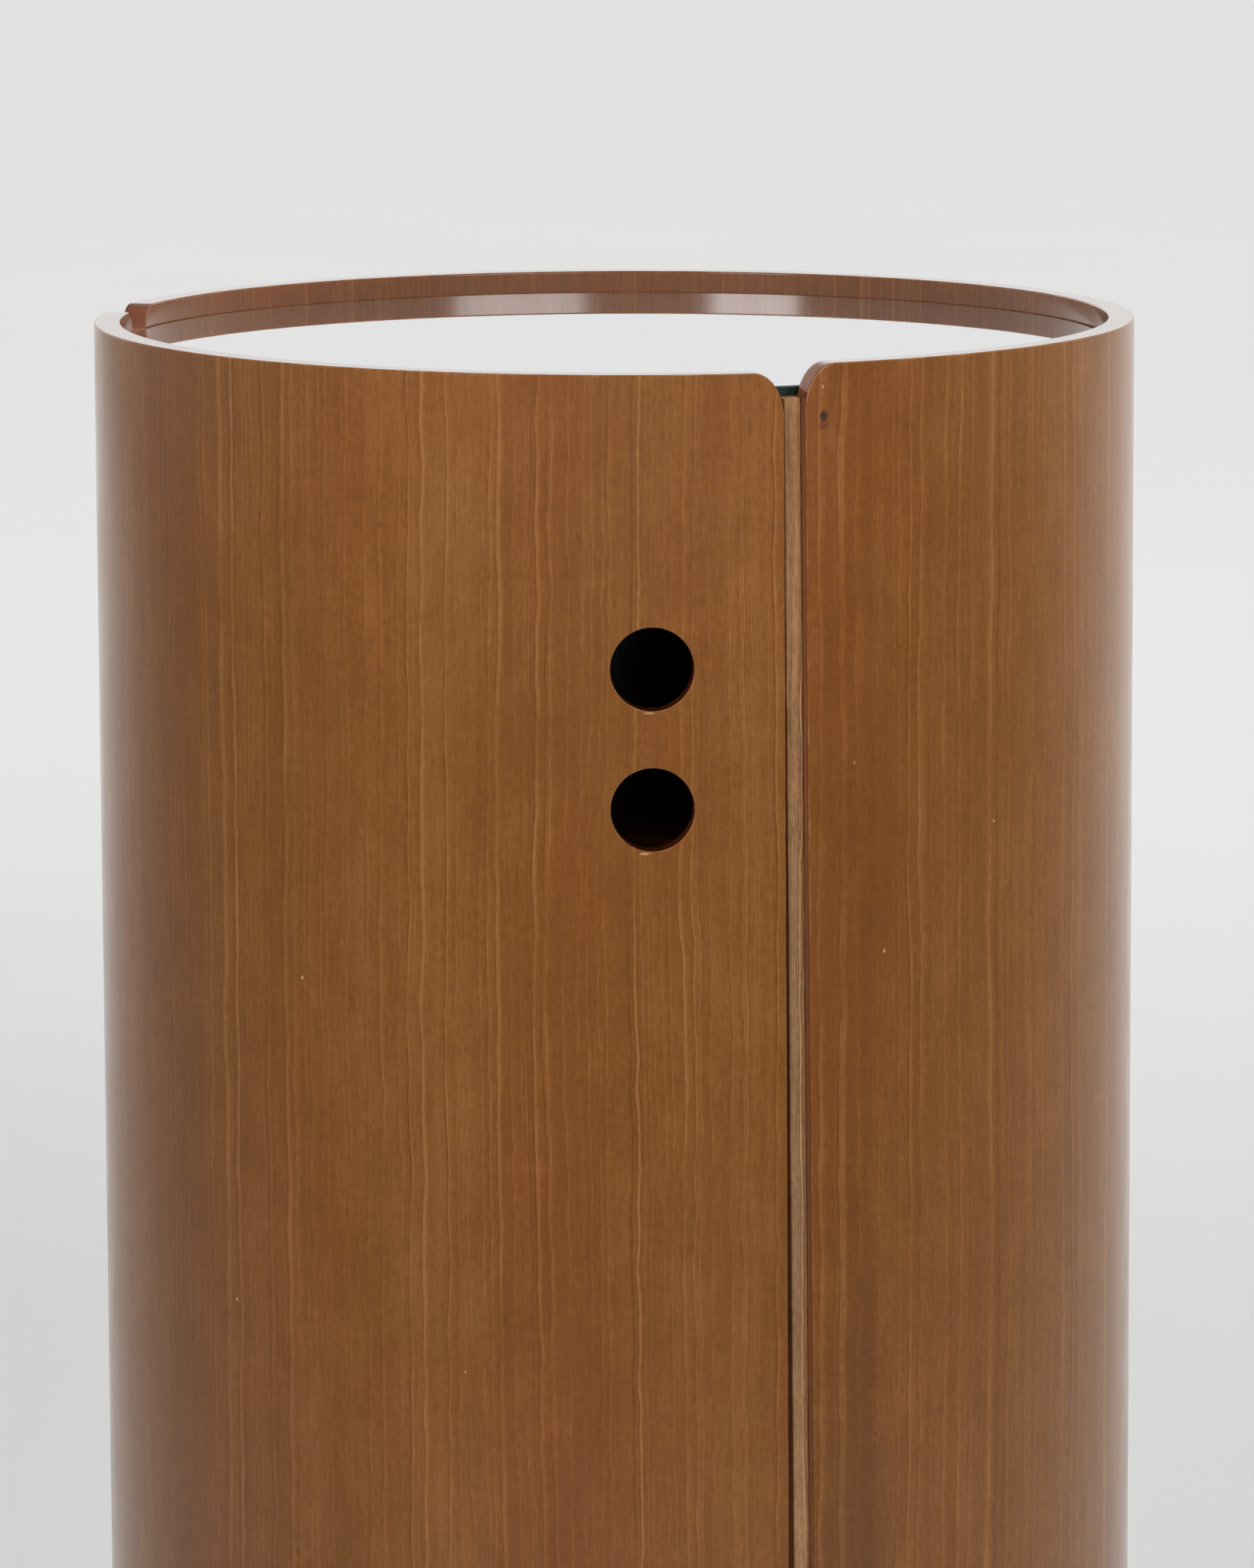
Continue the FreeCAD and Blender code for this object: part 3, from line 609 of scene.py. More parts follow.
VENEER_TONES = (colour(98, 50, 0), colour(125, 73, 18), colour(152, 98, 48))
VENEER_TINTS = ((0.97, 1.03, 0.92, 1.0), (1.03, 0.90, 0.86, 1.0))
BATTEN_TONES = (colour(78, 50, 26), colour(148, 104, 64), colour(206, 160, 114))
BATTEN_TINTS = ((0.92, 0.96, 1.0, 1.0), (1.0, 0.97, 0.92, 1.0))
BLOCK_TONES = (colour(150, 112, 64), colour(186, 146, 96), colour(210, 176, 130))
BLOCK_TINTS = ((1.0, 1.0, 1.0, 1.0), (1.0, 0.97, 0.93, 1.0))
PLINTH_TONES = (colour(20, 16, 14), colour(34, 27, 23), colour(48, 39, 33))
PLINTH_TINTS = ((1.0, 1.0, 1.0, 1.0), (1.0, 0.94, 0.9, 1.0))

# How far the lines of growth wander
SWAY = 14 * MM
WOBBLE = 2.4 * MM
TREMOR = 4.6 * MM

# How many features a noise has to a metre, across the grain and along it
SWAY_GRAIN = (5.0, 2.6)
WOBBLE_GRAIN = (40.0, 9.0)
TREMOR_GRAIN = (80.0, 26.0)
PRESENCE_GRAIN = (30.0, 14.0)
BROAD_GRAIN = (5.0, 2.2)
MOTTLE_GRAIN = (60.0, 26.0)
STREAK_GRAIN = (120.0, 3.5)
FLECK_GRAIN = (560.0, 240.0)
DRIFT_GRAIN = (11.0, 4.0)
RUB_AND_GLINT_GRAIN = (60.0, 60.0)
RAGGED_GRAIN = (900.0, 400.0)

# The same across the grain, along it and into the wood
FIBRE_GRAIN = (1100.0, 60.0, 900.0)
PORE_GRAIN = (2400.0, 90.0, 1500.0)
PORE_SHIFT = (7.0, 3.0, 1.0)
SHEEN_GRAIN = (60.0, 22.0, 60.0)

# Where a noise begins to count, and where it counts in full
NOISE_RANGE = (0.3, 0.7)
CLOUD_RANGE = (0.35, 0.7)
PRESENCE_RANGE = (0.36, 0.62)
PORE_RANGE = (0.64, 0.74)
RUB_AND_GLINT_RANGE = (0.4, 0.7)

# How much each part of the grain changes the lightness, which runs from 0 to 1
BROAD_SHARE = 0.30
MOTTLE_SHARE = 0.46
STREAK_SHARE = 0.38
FIBRE_SHARE = 0.36
FLECK_SHARE = 0.46
RING_LIFT = 0.31
RING_GLOW = 0.12
RING_DROP = 0.42
FAINTEST_RINGS = 0.5
FINE_RINGS_SHARE = 0.18

# How much the pores darken the tone, and how far the tint and the gloss drift either way
PORE_SHARE = 0.35
DRIFT_REACH = 0.4
HAZE_REACH = 0.03

# Places in a growth ring, which runs from 0 to 1: dark, then lightest, then a glow that fades out
RING_DARK_END = 0.03
RING_LIGHTEST = 0.10
RING_LIGHT_END = 0.20
RING_GLOW_END = 0.7

# Fine rings to one growth ring, then how fast and by how many rings their distances drift
FINE_RINGS = 2.7
UNEVEN_PACE = 0.22
UNEVEN_RINGS = 9.0

# Bands of the veneer: degrees from the front, half width in degrees, change of lightness, added redness
# The first door band, darker and redder on the left flank, is painted shade
DOOR_BANDS = ((-54, 14, -0.17, 0.35), (-17, 9, 0.09, -0.1), (-4, 10, -0.07, 0.45), (17, 6, 0.08, -0.3))
FIXED_BANDS = ((27, 8, -0.15, 0.1),)

# Edges of the bent walls. Their stored edge value is 0 on the faces and 1 in the middle of an edge
EDGE_TONE = colour(144, 88, 50)
EDGE_TOP = colour(122, 70, 46)
EDGE_TOP_HEIGHTS = (850 * MM, 884 * MM)
EDGE_DARK = colour(74, 36, 16)
EDGE_RANGE = (0.75, 0.98)
EDGE_GLOSS = 0.13
EDGE_GLOSS_RANGE = (0.1, 0.5)
FLAT_TOP_RANGE = (0.84, 0.99)

# Painted shade on the edges in the finger holes, which lie this near the middle between the two, beside it
# and above it
HOLE_SHADE_TONE = colour(84, 38, 20)
HOLES_BESIDE = (26 * MM, 28 * MM)
HOLES_ABOVE = (60 * MM, 65 * MM)

# Wear on the arrises, lightened further as a painted highlight, and the edge values between which it rises
# and falls
WORN_AND_HIGHLIGHT_TONE = colour(206, 150, 108)
WORN_AND_HIGHLIGHT_SHARE = 0.38
WORN_AND_HIGHLIGHT_RISE = (0.2, 0.6)
WORN_AND_HIGHLIGHT_FALL = (0.7, 0.97)

# Dark seam under the outer veneer, and the plies that show in an edge
SEAM_DEPTH = 1.4 * MM
SEAM_WIDTH = 0.7 * MM
SEAM_SHARE = 0.75
PLY_LINES_PER_METRE = 700.0
PLY_WANDER_PER_METRE = 6.0
PLY_SHARE = 0.3

# Tint of the inner face, and the depths in the wall where it begins and is full
INNER_TINT = (0.84, 0.68, 0.6, 1.0)
INNER_DEPTHS = (9 * MM, WALL - 0.2 * MM)

# Tones of the marks, and how ragged and soft a mark's outline is. The shade tone is painted shade, the chip
# tone also paints highlights, and the pale tone also paints a reflection
CHIP_AND_GLINT = colour(224, 186, 140)
PALE = colour(170, 116, 84)
BURN = colour(30, 18, 12)
STAIN = colour(100, 44, 18)
SHADE = colour(74, 36, 6)
RAGGED = 0.8
MARK_FADE = (1.0, 1.6)

# Marks on the veneer, some of them painted shade, highlights and a reflection: degrees from the front,
# height, width, length, tone, strength
FIXED_MARKS = (
    # Painted shade over the lower wall beside the front split
    (25.5, 180.0 * MM, 52.0 * MM, 640.0 * MM, SHADE, 0.3),
    # A painted reflection: the pale patch on the fixed shell's rear end, just below the rim
    (255.4, 883.0 * MM, 14.0 * MM, 13.0 * MM, PALE, 0.5),
    (22.28, 872.0 * MM, 4.4 * MM, 5.0 * MM, STAIN, 0.7),
    (22.28, 876.1 * MM, 4.0 * MM, 4.8 * MM, BURN, 0.85),
    (23.2, 865.8 * MM, 5.4 * MM, 13 * MM, PALE, 0.14),
    (22.2, 889.4 * MM, 1.0 * MM, 1.8 * MM, CHIP_AND_GLINT, 0.55),
    (44.39, 681.4 * MM, 1.0 * MM, 1.4 * MM, CHIP_AND_GLINT, 0.9),
    (29.43, 627.3 * MM, 1.3 * MM, 1.8 * MM, CHIP_AND_GLINT, 0.6),
    (25.82, 716.1 * MM, 1.0 * MM, 2.0 * MM, CHIP_AND_GLINT, 0.4),
)
DOOR_MARKS = (
    (-35.55, 613.5 * MM, 1.1 * MM, 2.0 * MM, CHIP_AND_GLINT, 0.85),
    (-45.6, 455.5 * MM, 0.9 * MM, 2.2 * MM, CHIP_AND_GLINT, 0.8),
    (-16.43, 435.2 * MM, 1.0 * MM, 1.6 * MM, CHIP_AND_GLINT, 0.5),
    (-73.4, 879.6 * MM, 1.4 * MM, 9.0 * MM, BURN, 0.5),
    # These two are painted highlights along the lower lip of each finger hole
    (3.46, 742.9 * MM, 5.0 * MM, 1.0 * MM, CHIP_AND_GLINT, 0.4),
    (2.92, 678.3 * MM, 5.0 * MM, 1.2 * MM, CHIP_AND_GLINT, 0.5),
    (-25.35, 826.8 * MM, 2.2 * MM, 4.0 * MM, PORE_TONE, 0.3),
    (-3.69, 823.0 * MM, 3.0 * MM, 6.0 * MM, PORE_TONE, 0.25),
)


def stored_grain(shader):
    """(across, along, depth) of the veneer, stored on the bent walls in metres."""
    return shader.stored("grain", "Vector")


def level_grain(shader):
    """Place in a plain piece of wood whose grain runs level, from side to side."""
    x, y, z = shader.split(shader.place())
    return shader.vector(y, x, z)


def upright_grain(shader):
    """Place in a plain piece of wood whose grain runs upwards."""
    x, y, z = shader.split(shader.place())
    return shader.vector(shader.maths("ADD", x, y), z, y)


def grain_noise(shader, across, up, per_metre, seed, detail=2.0, roughness=0.5):
    """Noise drawn out along the grain, with so many features to a metre across it and along it."""
    x = shader.maths("MULTIPLY", across, per_metre[0])
    y = shader.maths("MULTIPLY", up, per_metre[1])
    return shader.noise(shader.vector(x, y, seed), detail, roughness)


def swayed(shader, across, up, seed):
    """Place across the grain, moved a little so that the lines of growth wander."""
    moved = across
    for grain, reach in ((SWAY_GRAIN, SWAY), (WOBBLE_GRAIN, WOBBLE), (TREMOR_GRAIN, TREMOR)):
        moved = shader.maths("MULTIPLY_ADD", grain_noise(shader, across, up, grain, seed), reach, moved)
    return moved


def ring_lines(shader, moved, seed, spacing):
    """Change of lightness at the growth rings: a thin dark line, a thin light one beside it, then a glow."""
    pace = shader.maths("MULTIPLY", moved, UNEVEN_PACE / spacing)
    uneven = shader.noise(shader.vector(pace, seed), detail=3.0, roughness=0.7)
    shift = shader.maths("MULTIPLY", uneven, UNEVEN_RINGS)
    ring = shader.maths("FRACT", shader.maths("MULTIPLY_ADD", moved, 1 / spacing, shift))
    rise = shader.spread(ring, RING_DARK_END, RING_LIGHTEST, -RING_DROP, RING_LIFT)
    fall = shader.spread(ring, RING_LIGHTEST, RING_LIGHT_END, 0.0, -RING_LIFT)
    glow = shader.spread(ring, RING_LIGHTEST, RING_GLOW_END, RING_GLOW, 0.0)
    return shader.maths("ADD", shader.maths("ADD", rise, fall), glow)


def figure(shader, across, moved, up, fibres, seed, spacing, lines):
    """Lightness of the wood, from 0 to 1: noises from broad to fine, each with its own seed, then rings."""
    parts = (
        (grain_noise(shader, moved, up, BROAD_GRAIN, seed + 8.1), BROAD_SHARE),
        (grain_noise(shader, moved, up, MOTTLE_GRAIN, seed + 6.6, detail=4.0, roughness=0.6), MOTTLE_SHARE),
        (grain_noise(shader, moved, up, STREAK_GRAIN, seed + 2.9, detail=3.0, roughness=0.6), STREAK_SHARE),
        (fibres, FIBRE_SHARE),
        (grain_noise(shader, across, up, FLECK_GRAIN, seed + 3.8, detail=3.0), FLECK_SHARE),
    )
    lightness = 0.5 - sum(share for _, share in parts) / 2
    for noise, share in parts:
        lightness = shader.maths("MULTIPLY_ADD", noise, share, lightness)
    presence = grain_noise(shader, moved, up, PRESENCE_GRAIN, seed + 4.4)
    presence = shader.spread(presence, *PRESENCE_RANGE, FAINTEST_RINGS * lines, lines)
    rings = ring_lines(shader, moved, seed, spacing)
    lightness = shader.maths("MULTIPLY_ADD", rings, presence, lightness)
    fine_presence = shader.maths("MULTIPLY", presence, FINE_RINGS_SHARE)
    fine_rings = ring_lines(shader, moved, seed + 5.3, spacing / FINE_RINGS)
    return shader.maths("MULTIPLY_ADD", fine_rings, fine_presence, lightness)


def wood(name, place, seed, tones, tints, spacing, gloss, lines=1.0, drift=(0.5, 0.0), bands=(), marks=()):
    """Lacquered wood: growth rings, fibres, pores and slow changes of tone.

    Spacing is the distance between growth rings, and lines is how strongly they show. Drift is the mean
    share of the second tint, and how much it grows with each metre across the grain. The bent walls alone
    have bands and edges.
    """
    shader = Shader(name)
    at = place(shader)
    across, up, depth = shader.split(at)
    moved = swayed(shader, across, up, seed)
    fibres = shader.noise(shader.stretched(at, FIBRE_GRAIN), detail=3.0, roughness=0.62)
    lightness = figure(shader, across, moved, up, fibres, seed, spacing, lines)
    blush = 0.0
    for deg, half_width, change, redder in bands:
        aside = shader.away(moved, turn_of(deg) * OUTER)
        band = shader.spread(aside, 0.0, turn_of(half_width) * OUTER, 1.0, 0.0)
        lightness = shader.maths("MULTIPLY_ADD", band, change, lightness)
        blush = shader.maths("MULTIPLY_ADD", band, redder, blush)

    tone = shader.tones(lightness, list(zip((0.0, 0.5, 1.0), tones)))
    slow = grain_noise(shader, moved, up, DRIFT_GRAIN, seed + 1.7, detail=3.0, roughness=0.55)
    slow = shader.spread(slow, *NOISE_RANGE, drift[0] - DRIFT_REACH, drift[0] + DRIFT_REACH)
    slow = shader.maths("MULTIPLY_ADD", across, drift[1], slow)
    slow = shader.maths("ADD", slow, blush)
    tone = shader.mix(1.0, tone, shader.mix(slow, *tints), "MULTIPLY")
    pores = shader.noise(shader.stretched(at, PORE_GRAIN, PORE_SHIFT), detail=1.0)
    tone = shader.mix(shader.spread(pores, *PORE_RANGE, 0.0, PORE_SHARE), tone, PORE_TONE)

    sheen = shader.noise(shader.stretched(at, SHEEN_GRAIN), detail=3.0)
    haze = shader.spread(sheen, *NOISE_RANGE, gloss - HAZE_REACH, gloss + HAZE_REACH)
    if bands:
        tone, haze = with_edges(shader, tone, haze, across, up, depth)
    for mark in marks:
        tone = marked(shader, tone, across, up, *mark)
    normal = shader.bump(shader.maths("ADD", fibres, sheen), GRAIN_RELIEF, GRAIN_BUMP)
    return shader.use(Base_Color=tone, Roughness=haze, IOR=LACQUER_IOR, Normal=normal)


def with_edges(shader, tone, haze, across, up, depth):
    """Darker inner face, and edges with a stain, glossier and a little worn on each arris, where the wear
    also paints a highlight.

    The edges in the finger holes are the darkest, as painted shade. A coat of lacquer lies on the level rims
    and inside.
    """
    edge = shader.stored("edge", "Fac")
    inner = shader.spread(depth, *INNER_DEPTHS)
    tone = shader.mix(inner, tone, shader.mix(1.0, tone, INNER_TINT, "MULTIPLY"))

    plies = shader.noise(shader.vector(
        shader.maths("MULTIPLY", depth, PLY_LINES_PER_METRE),
        shader.maths("MULTIPLY", up, PLY_WANDER_PER_METRE),
        shader.maths("MULTIPLY", across, PLY_WANDER_PER_METRE),
    ), detail=3.0)
    stained_and_shaded = shader.mix(shader.spread(up, *EDGE_TOP_HEIGHTS), EDGE_TONE, EDGE_TOP)
    stained_and_shaded = shader.mix(shader.spread(plies, *CLOUD_RANGE, 0.0, PLY_SHARE), stained_and_shaded, EDGE_DARK)
    seam = shader.spread(shader.away(depth, SEAM_DEPTH), 0.0, SEAM_WIDTH, SEAM_SHARE, 0.0)
    stained_and_shaded = shader.mix(seam, stained_and_shaded, EDGE_DARK)
    # Painted shade darkens the edges inside the finger holes
    beside = shader.spread(shader.away(across, turn_of(HOLE_DEG) * OUTER), *HOLES_BESIDE, 1.0, 0.0)
    above = shader.spread(shader.away(up, sum(HOLE_HEIGHTS) / 2), *HOLES_ABOVE, 1.0, 0.0)
    stained_and_shaded = shader.mix(shader.maths("MULTIPLY", beside, above), stained_and_shaded, HOLE_SHADE_TONE)
    tone = shader.mix(shader.spread(edge, *EDGE_RANGE), tone, stained_and_shaded)

    # Wear on each arris, with a painted highlight in the same pale tone
    rise = shader.spread(edge, *WORN_AND_HIGHLIGHT_RISE, 0.0, WORN_AND_HIGHLIGHT_SHARE)
    fall = shader.spread(edge, *WORN_AND_HIGHLIGHT_FALL, 1.0, 0.0)
    rub_and_glint = grain_noise(shader, across, up, RUB_AND_GLINT_GRAIN, seed=0.0, detail=4.0, roughness=0.7)
    rub_and_glint = shader.spread(rub_and_glint, *RUB_AND_GLINT_RANGE)
    patch_share = shader.maths("MULTIPLY", shader.maths("MULTIPLY", rise, fall), rub_and_glint)
    haze = shader.spread(edge, *EDGE_GLOSS_RANGE, haze, EDGE_GLOSS)
    facing = shader.add("ShaderNodeNewGeometry", {}, {}).outputs["Normal"]
    flat_top = shader.spread(shader.split(facing)[2], *FLAT_TOP_RANGE)
    coat = shader.maths("MAXIMUM", flat_top, inner)
    shader.use(Coat_Weight=coat, Coat_Roughness=EDGE_GLOSS, Coat_IOR=LACQUER_IOR)
    return shader.mix(patch_share, tone, WORN_AND_HIGHLIGHT_TONE), haze


def marked(shader, base, across, up, deg, height, width, length, tone, strength):
    """A mark at an angle and height on the wall. Most are small marks in the lacquer; the rest are painted
    shade, highlights and a reflection.
    """
    x = shader.maths("DIVIDE", shader.maths("SUBTRACT", across, turn_of(deg) * OUTER), width / 2)
    y = shader.maths("DIVIDE", shader.maths("SUBTRACT", up, height), length / 2)
    squares = shader.maths("MULTIPLY_ADD", x, x, shader.maths("MULTIPLY", y, y))
    ragged = grain_noise(shader, across, up, RAGGED_GRAIN, seed=deg)
    reach = shader.maths("MULTIPLY_ADD", ragged, RAGGED, shader.maths("SQRT", squares))
    return shader.mix(shader.spread(reach, *MARK_FADE, strength, 0.0), base, tone)


# Glass, metal and moulded pieces

GLASS_IOR = 1.52
GLASS_EDGE_TONES = ((0.3, colour(3, 20, 15)), (0.7, colour(8, 36, 28)))
GLASS_ARRIS_TONES = ((0.35, colour(46, 58, 52)), (0.7, colour(104, 116, 110)))
MIRROR_TONE = (0.78, 0.785, 0.785, 1.0)
MIRROR_DULL = (0.75, 0.755, 0.755, 1.0)
DULL_SHARE = 0.6
DULL_RANGE = (0.3, 0.75)
DUST_RANGE = (0.35, 0.8)
DUST_GLOSS = (0.008, 0.03)
METAL_HAZE = 0.06
MOULDED_IOR = 1.46
MOULDED_HAZE = 0.12
MOULDED_RELIEF = 0.03 * MM
MOULDED_BUMP = 0.4


def mirror_finish():
    """Silvered glass seen from above, with a little dust in the gloss."""
    shader = Shader("mirror_face", Metallic=0.95, Roughness=0.015)
    smear = shader.cloud((9.0, 14.0, 9.0), detail=4.0, roughness=0.6)
    tone = shader.mix(shader.spread(smear, *DULL_RANGE, 0.0, DULL_SHARE), MIRROR_TONE, MIRROR_DULL)
    return shader.use(Base_Color=tone, Roughness=shader.spread(smear, *DUST_RANGE, *DUST_GLOSS))


def glass_arris_finish():
    """Ground arris of the pane: grey, with small nicks."""
    shader = Shader("mirror_arris", Roughness=0.28, IOR=GLASS_IOR)
    nick = shader.cloud((260.0, 260.0, 260.0), detail=3.0)
    return shader.use(Base_Color=shader.tones(nick, GLASS_ARRIS_TONES))


def glass_edge_finish():
    """Edge of the pane: nearly black green, a little uneven."""
    shader = Shader("mirror_edge", Roughness=0.16, IOR=GLASS_IOR)
    cloud = shader.cloud((40.0, 40.0, 500.0), detail=2.0)
    return shader.use(Base_Color=shader.tones(cloud, GLASS_EDGE_TONES))


def metal(name, tone, dull, gloss):
    """Polished metal with a little tarnish and finger haze."""
    shader = Shader(name, Metallic=1.0)
    smear = shader.cloud((40.0, 40.0, 40.0), detail=1.0)
    cloud = shader.cloud((22.0, 22.0, 22.0), detail=1.5, roughness=0.4)
    base = shader.mix(shader.spread(cloud, *CLOUD_RANGE), tone, dull)
    haze = shader.spread(smear, *NOISE_RANGE, gloss, gloss + METAL_HAZE)
    return shader.use(Base_Color=base, Roughness=haze)


def moulded(name, tone, other, gloss):
    """Moulded or fired piece with a fine matt skin."""
    shader = Shader(name, IOR=MOULDED_IOR)
    skin = shader.cloud((900.0, 900.0, 900.0), detail=3.0)
    cloud = shader.cloud((50.0, 50.0, 50.0), detail=3.0)
    base = shader.mix(shader.spread(cloud, *CLOUD_RANGE), tone, other)
    haze = shader.spread(skin, *NOISE_RANGE, gloss, gloss + MOULDED_HAZE)
    normal = shader.bump(skin, MOULDED_RELIEF, MOULDED_BUMP)
    return shader.use(Base_Color=base, Roughness=haze, Normal=normal)


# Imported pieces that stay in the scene

WELD_REACH = 0.002 * MM
BEVEL_STEPS = 2
SHARP_DEG = 38


def finish_node(name, material, bevel):
    """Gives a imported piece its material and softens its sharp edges."""
    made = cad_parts[name]
    made.data.materials.clear()
    made.data.materials.append(material)
    weld = made.modifiers.new("weld", "WELD")
    weld.merge_threshold = WELD_REACH
    soft = made.modifiers.new("soft_edges", "BEVEL")
    soft.width = bevel
    soft.segments = BEVEL_STEPS
    soft.limit_method = "ANGLE"
    soft.angle_limit = turn_of(SHARP_DEG)
    soft.use_clamp_overlap = True
    made.modifiers.new("normals", "WEIGHTED_NORMAL").keep_sharp = False
    for face in made.data.polygons:
        face.use_smooth = True


# Build the pieces

veneer_door = wood(
    "veneer_door", stored_grain, 3.0, VENEER_TONES, VENEER_TINTS,
    spacing=6.2 * MM, gloss=0.16, drift=(0.2, 0.6), bands=DOOR_BANDS, marks=DOOR_MARKS,
)
veneer_fixed = wood(
    "veneer_fixed", stored_grain, 11.0, VENEER_TONES, VENEER_TINTS,
    spacing=6 * MM, gloss=0.16, lines=0.9, drift=(1.05, -6.0), bands=FIXED_BANDS, marks=FIXED_MARKS,
)
batten_wood = wood(
    "batten_wood", upright_grain, 21.0, BATTEN_TONES, BATTEN_TINTS, spacing=2.6 * MM, gloss=0.5, lines=2.2
)
panel_wood = wood(
    "panel_wood", level_grain, 31.0, VENEER_TONES, VENEER_TINTS, spacing=8 * MM, gloss=0.34, lines=0.8
)
block_wood = wood(
    "block_wood", upright_grain, 41.0, BLOCK_TONES, BLOCK_TINTS, spacing=4 * MM, gloss=0.6
)
plinth_paint = wood(
    "plinth_paint", level_grain, 51.0, PLINTH_TONES, PLINTH_TINTS, spacing=6 * MM, gloss=0.38, lines=0.5
)
brass = metal("brass", (0.72, 0.50, 0.22, 1.0), (0.62, 0.42, 0.18, 1.0), gloss=0.24)
steel = metal("steel", (0.56, 0.56, 0.55, 1.0), (0.48, 0.47, 0.46, 1.0), gloss=0.3)
catch_plastic = moulded("catch_plastic", colour(92, 62, 42), colour(78, 52, 36), gloss=0.4)
ferrite = moulded("ferrite", colour(52, 51, 52), colour(40, 40, 41), gloss=0.55)
glide_plastic = moulded("glide_plastic", colour(58, 50, 44), colour(44, 38, 34), gloss=0.45)

new_object(
    "door_veneered",
    build_wall(
        "door_veneered",
        (DOOR_HINGE_DEG, 0.0),
        (DOOR_FREE_DEG, DOOR_EDGE_LEAN_DEG),
        door_top,
        [circle_outline(HOLE_RADIUS, height) for height in HOLE_HEIGHTS],
        [rectangle_outline(*STRIKE_POCKET, STRIKE_POCKET_HEIGHT)],
    ),
    [veneer_door],
    "door",
    ["door_shell"],
)
fixed = new_object(
    "fixed_shell_veneered",
    build_wall(
        "fixed_shell_veneered",
        (FIXED_FRONT_DEG, FIXED_EDGE_LEAN_DEG),
        (FIXED_REAR_DEG, 0.0),
        level_top,
    ),
    [veneer_fixed],
    "carcass",
    ["fixed_shell"],
)
new_object(
    "mirror_pane",
    pane_mesh(),
    [mirror_finish(), glass_arris_finish(), glass_edge_finish()],
    "carcass",
    ["mirror_top"],
)
new_object(
    "plinth_lacquered",
    plinth_mesh(),
    [plinth_paint],
    "carcass",
    ["plinth_ring"],
)

HINGES = ("lower_hinge_", "middle_hinge_", "upper_hinge_")
PANELS = ("top_disc", "bottom_disc", "lower_shelf", "upper_shelf", "lower_tray", "upper_tray")
BLOCKS = ("top_blocks", "bottom_blocks", "plinth_blocks", "shelf_cleats", "tray_cleats")

# Each finish: material, width of the softened edges, pieces
FINISHES = (
    (batten_wood, 0.5 * MM, ["front_batten"]),
    (batten_wood, 0.4 * MM, ["hinge_stile"]),
    (panel_wood, 0.4 * MM, PANELS),
    (block_wood, 0.8 * MM, BLOCKS),
    (brass, 0.5 * MM, ["gallery_posts", "gallery_rails"]),
    (brass, 0.25 * MM, [hinge + leaf for hinge in HINGES for leaf in ("fixed_leaf", "door_leaf")]),
    (brass, 0.3 * MM, [hinge + "pin" for hinge in HINGES]),
    (brass, 0.25 * MM, ["hinge_screws_fixed", "hinge_screws_door", "tray_screws"]),
    (steel, 0.2 * MM, ["catch_screws", "strike_screws", "catch_strike", "catch_poles"]),
    (catch_plastic, 0.5 * MM, ["catch_housing"]),
    (ferrite, 0.2 * MM, ["catch_magnet"]),
    (glide_plastic, 0.8 * MM, ["floor_glides"]),
)
for material, bevel, names in FINISHES:
    for name in names:
        finish_node(name, material, bevel)

# Room: pale floor and surroundings, five lights overhead, four aimed lamps, two panels seen in the gloss

FLOOR_REACH = 23.0
FLOOR_TONE = (0.80, 0.80, 0.79, 1.0)
FLOOR_WORN = (0.785, 0.785, 0.78, 1.0)
FLOOR_WORN_SHARE = 0.5
FLOOR_ROUGHNESS = 0.9

AROUND = (0.5, 0.505, 0.51, 1.0)
BEHIND = (0.83, 0.835, 0.83, 1.0)
ABOVE = (0.3, 0.3, 0.303, 1.0)

# Each tone over the one all round: the way it lies, where it begins, where it is full, and the tone
SKY_TONES = (("Y", 0.6, 0.95, BEHIND), ("Z", 0.3, 0.5, ABOVE))

# Each light: place, size across and along, how bright its face is, and how far round it shines
OVERHEAD = (
    ("lamp_near", (1.3, 1.9, 3.0), (3.2, 2.4), 1.6, 180),
    ("lamp_far", (1.3, 13.4, 3.5), (12.6, 20.8), 0.64, 100),
    ("lamp_wide_left", (-15.5, -2.0, 3.5), (14.0, 40.0), 0.6, 100),
    ("lamp_wide_right", (16.5, -2.0, 3.5), (14.0, 40.0), 0.6, 100),
    ("lamp_wide_front", (0.0, -16.2, 3.5), (17.0, 19.5), 0.6, 100),
)
AIMED = (
    ("lamp_left", (-0.75, -1.4, 2.1), (0.8, 1.4), 5.7, 180),
    ("lamp_right", (0.85, -1.45, 2.1), (0.8, 1.4), 5.35, 180),
    ("lamp_side_left", (-2.4, 2.9, 1.8), (1.4, 1.4), 2.4, 60),
    ("lamp_side_right", (2.9, 1.8, 1.8), (1.4, 1.4), 3.2, 60),
)
MIRRORED = (
    ("lamp_sheen_left", (-1.06, -1.45, 1.29), (0.72, 0.6), 5.6, 180),
    ("lamp_sheen_right", (0.66, -1.45, 1.29), (0.94, 0.6), 4.3, 180),
)
LAMP_AIM = Vector((0, 0, 1.6))


def floor():
    mesh = bpy.data.meshes.new("floor")
    corners = [(-1, -1), (1, -1), (1, 1), (-1, 1)]
    places = [(x * FLOOR_REACH, y * FLOOR_REACH, 0) for x, y in corners]
    mesh.from_pydata(places, [], [(0, 1, 2, 3)])
    made = bpy.data.objects.new("floor", mesh)
    bpy.context.scene.collection.objects.link(made)
    shader = Shader("floor_paint", Roughness=FLOOR_ROUGHNESS)
    patch_share = shader.spread(shader.cloud((1.5, 1.5, 1.5), detail=4.0), *NOISE_RANGE, 0.0, FLOOR_WORN_SHARE)
    mesh.materials.append(shader.use(Base_Color=shader.mix(patch_share, FLOOR_TONE, FLOOR_WORN)))


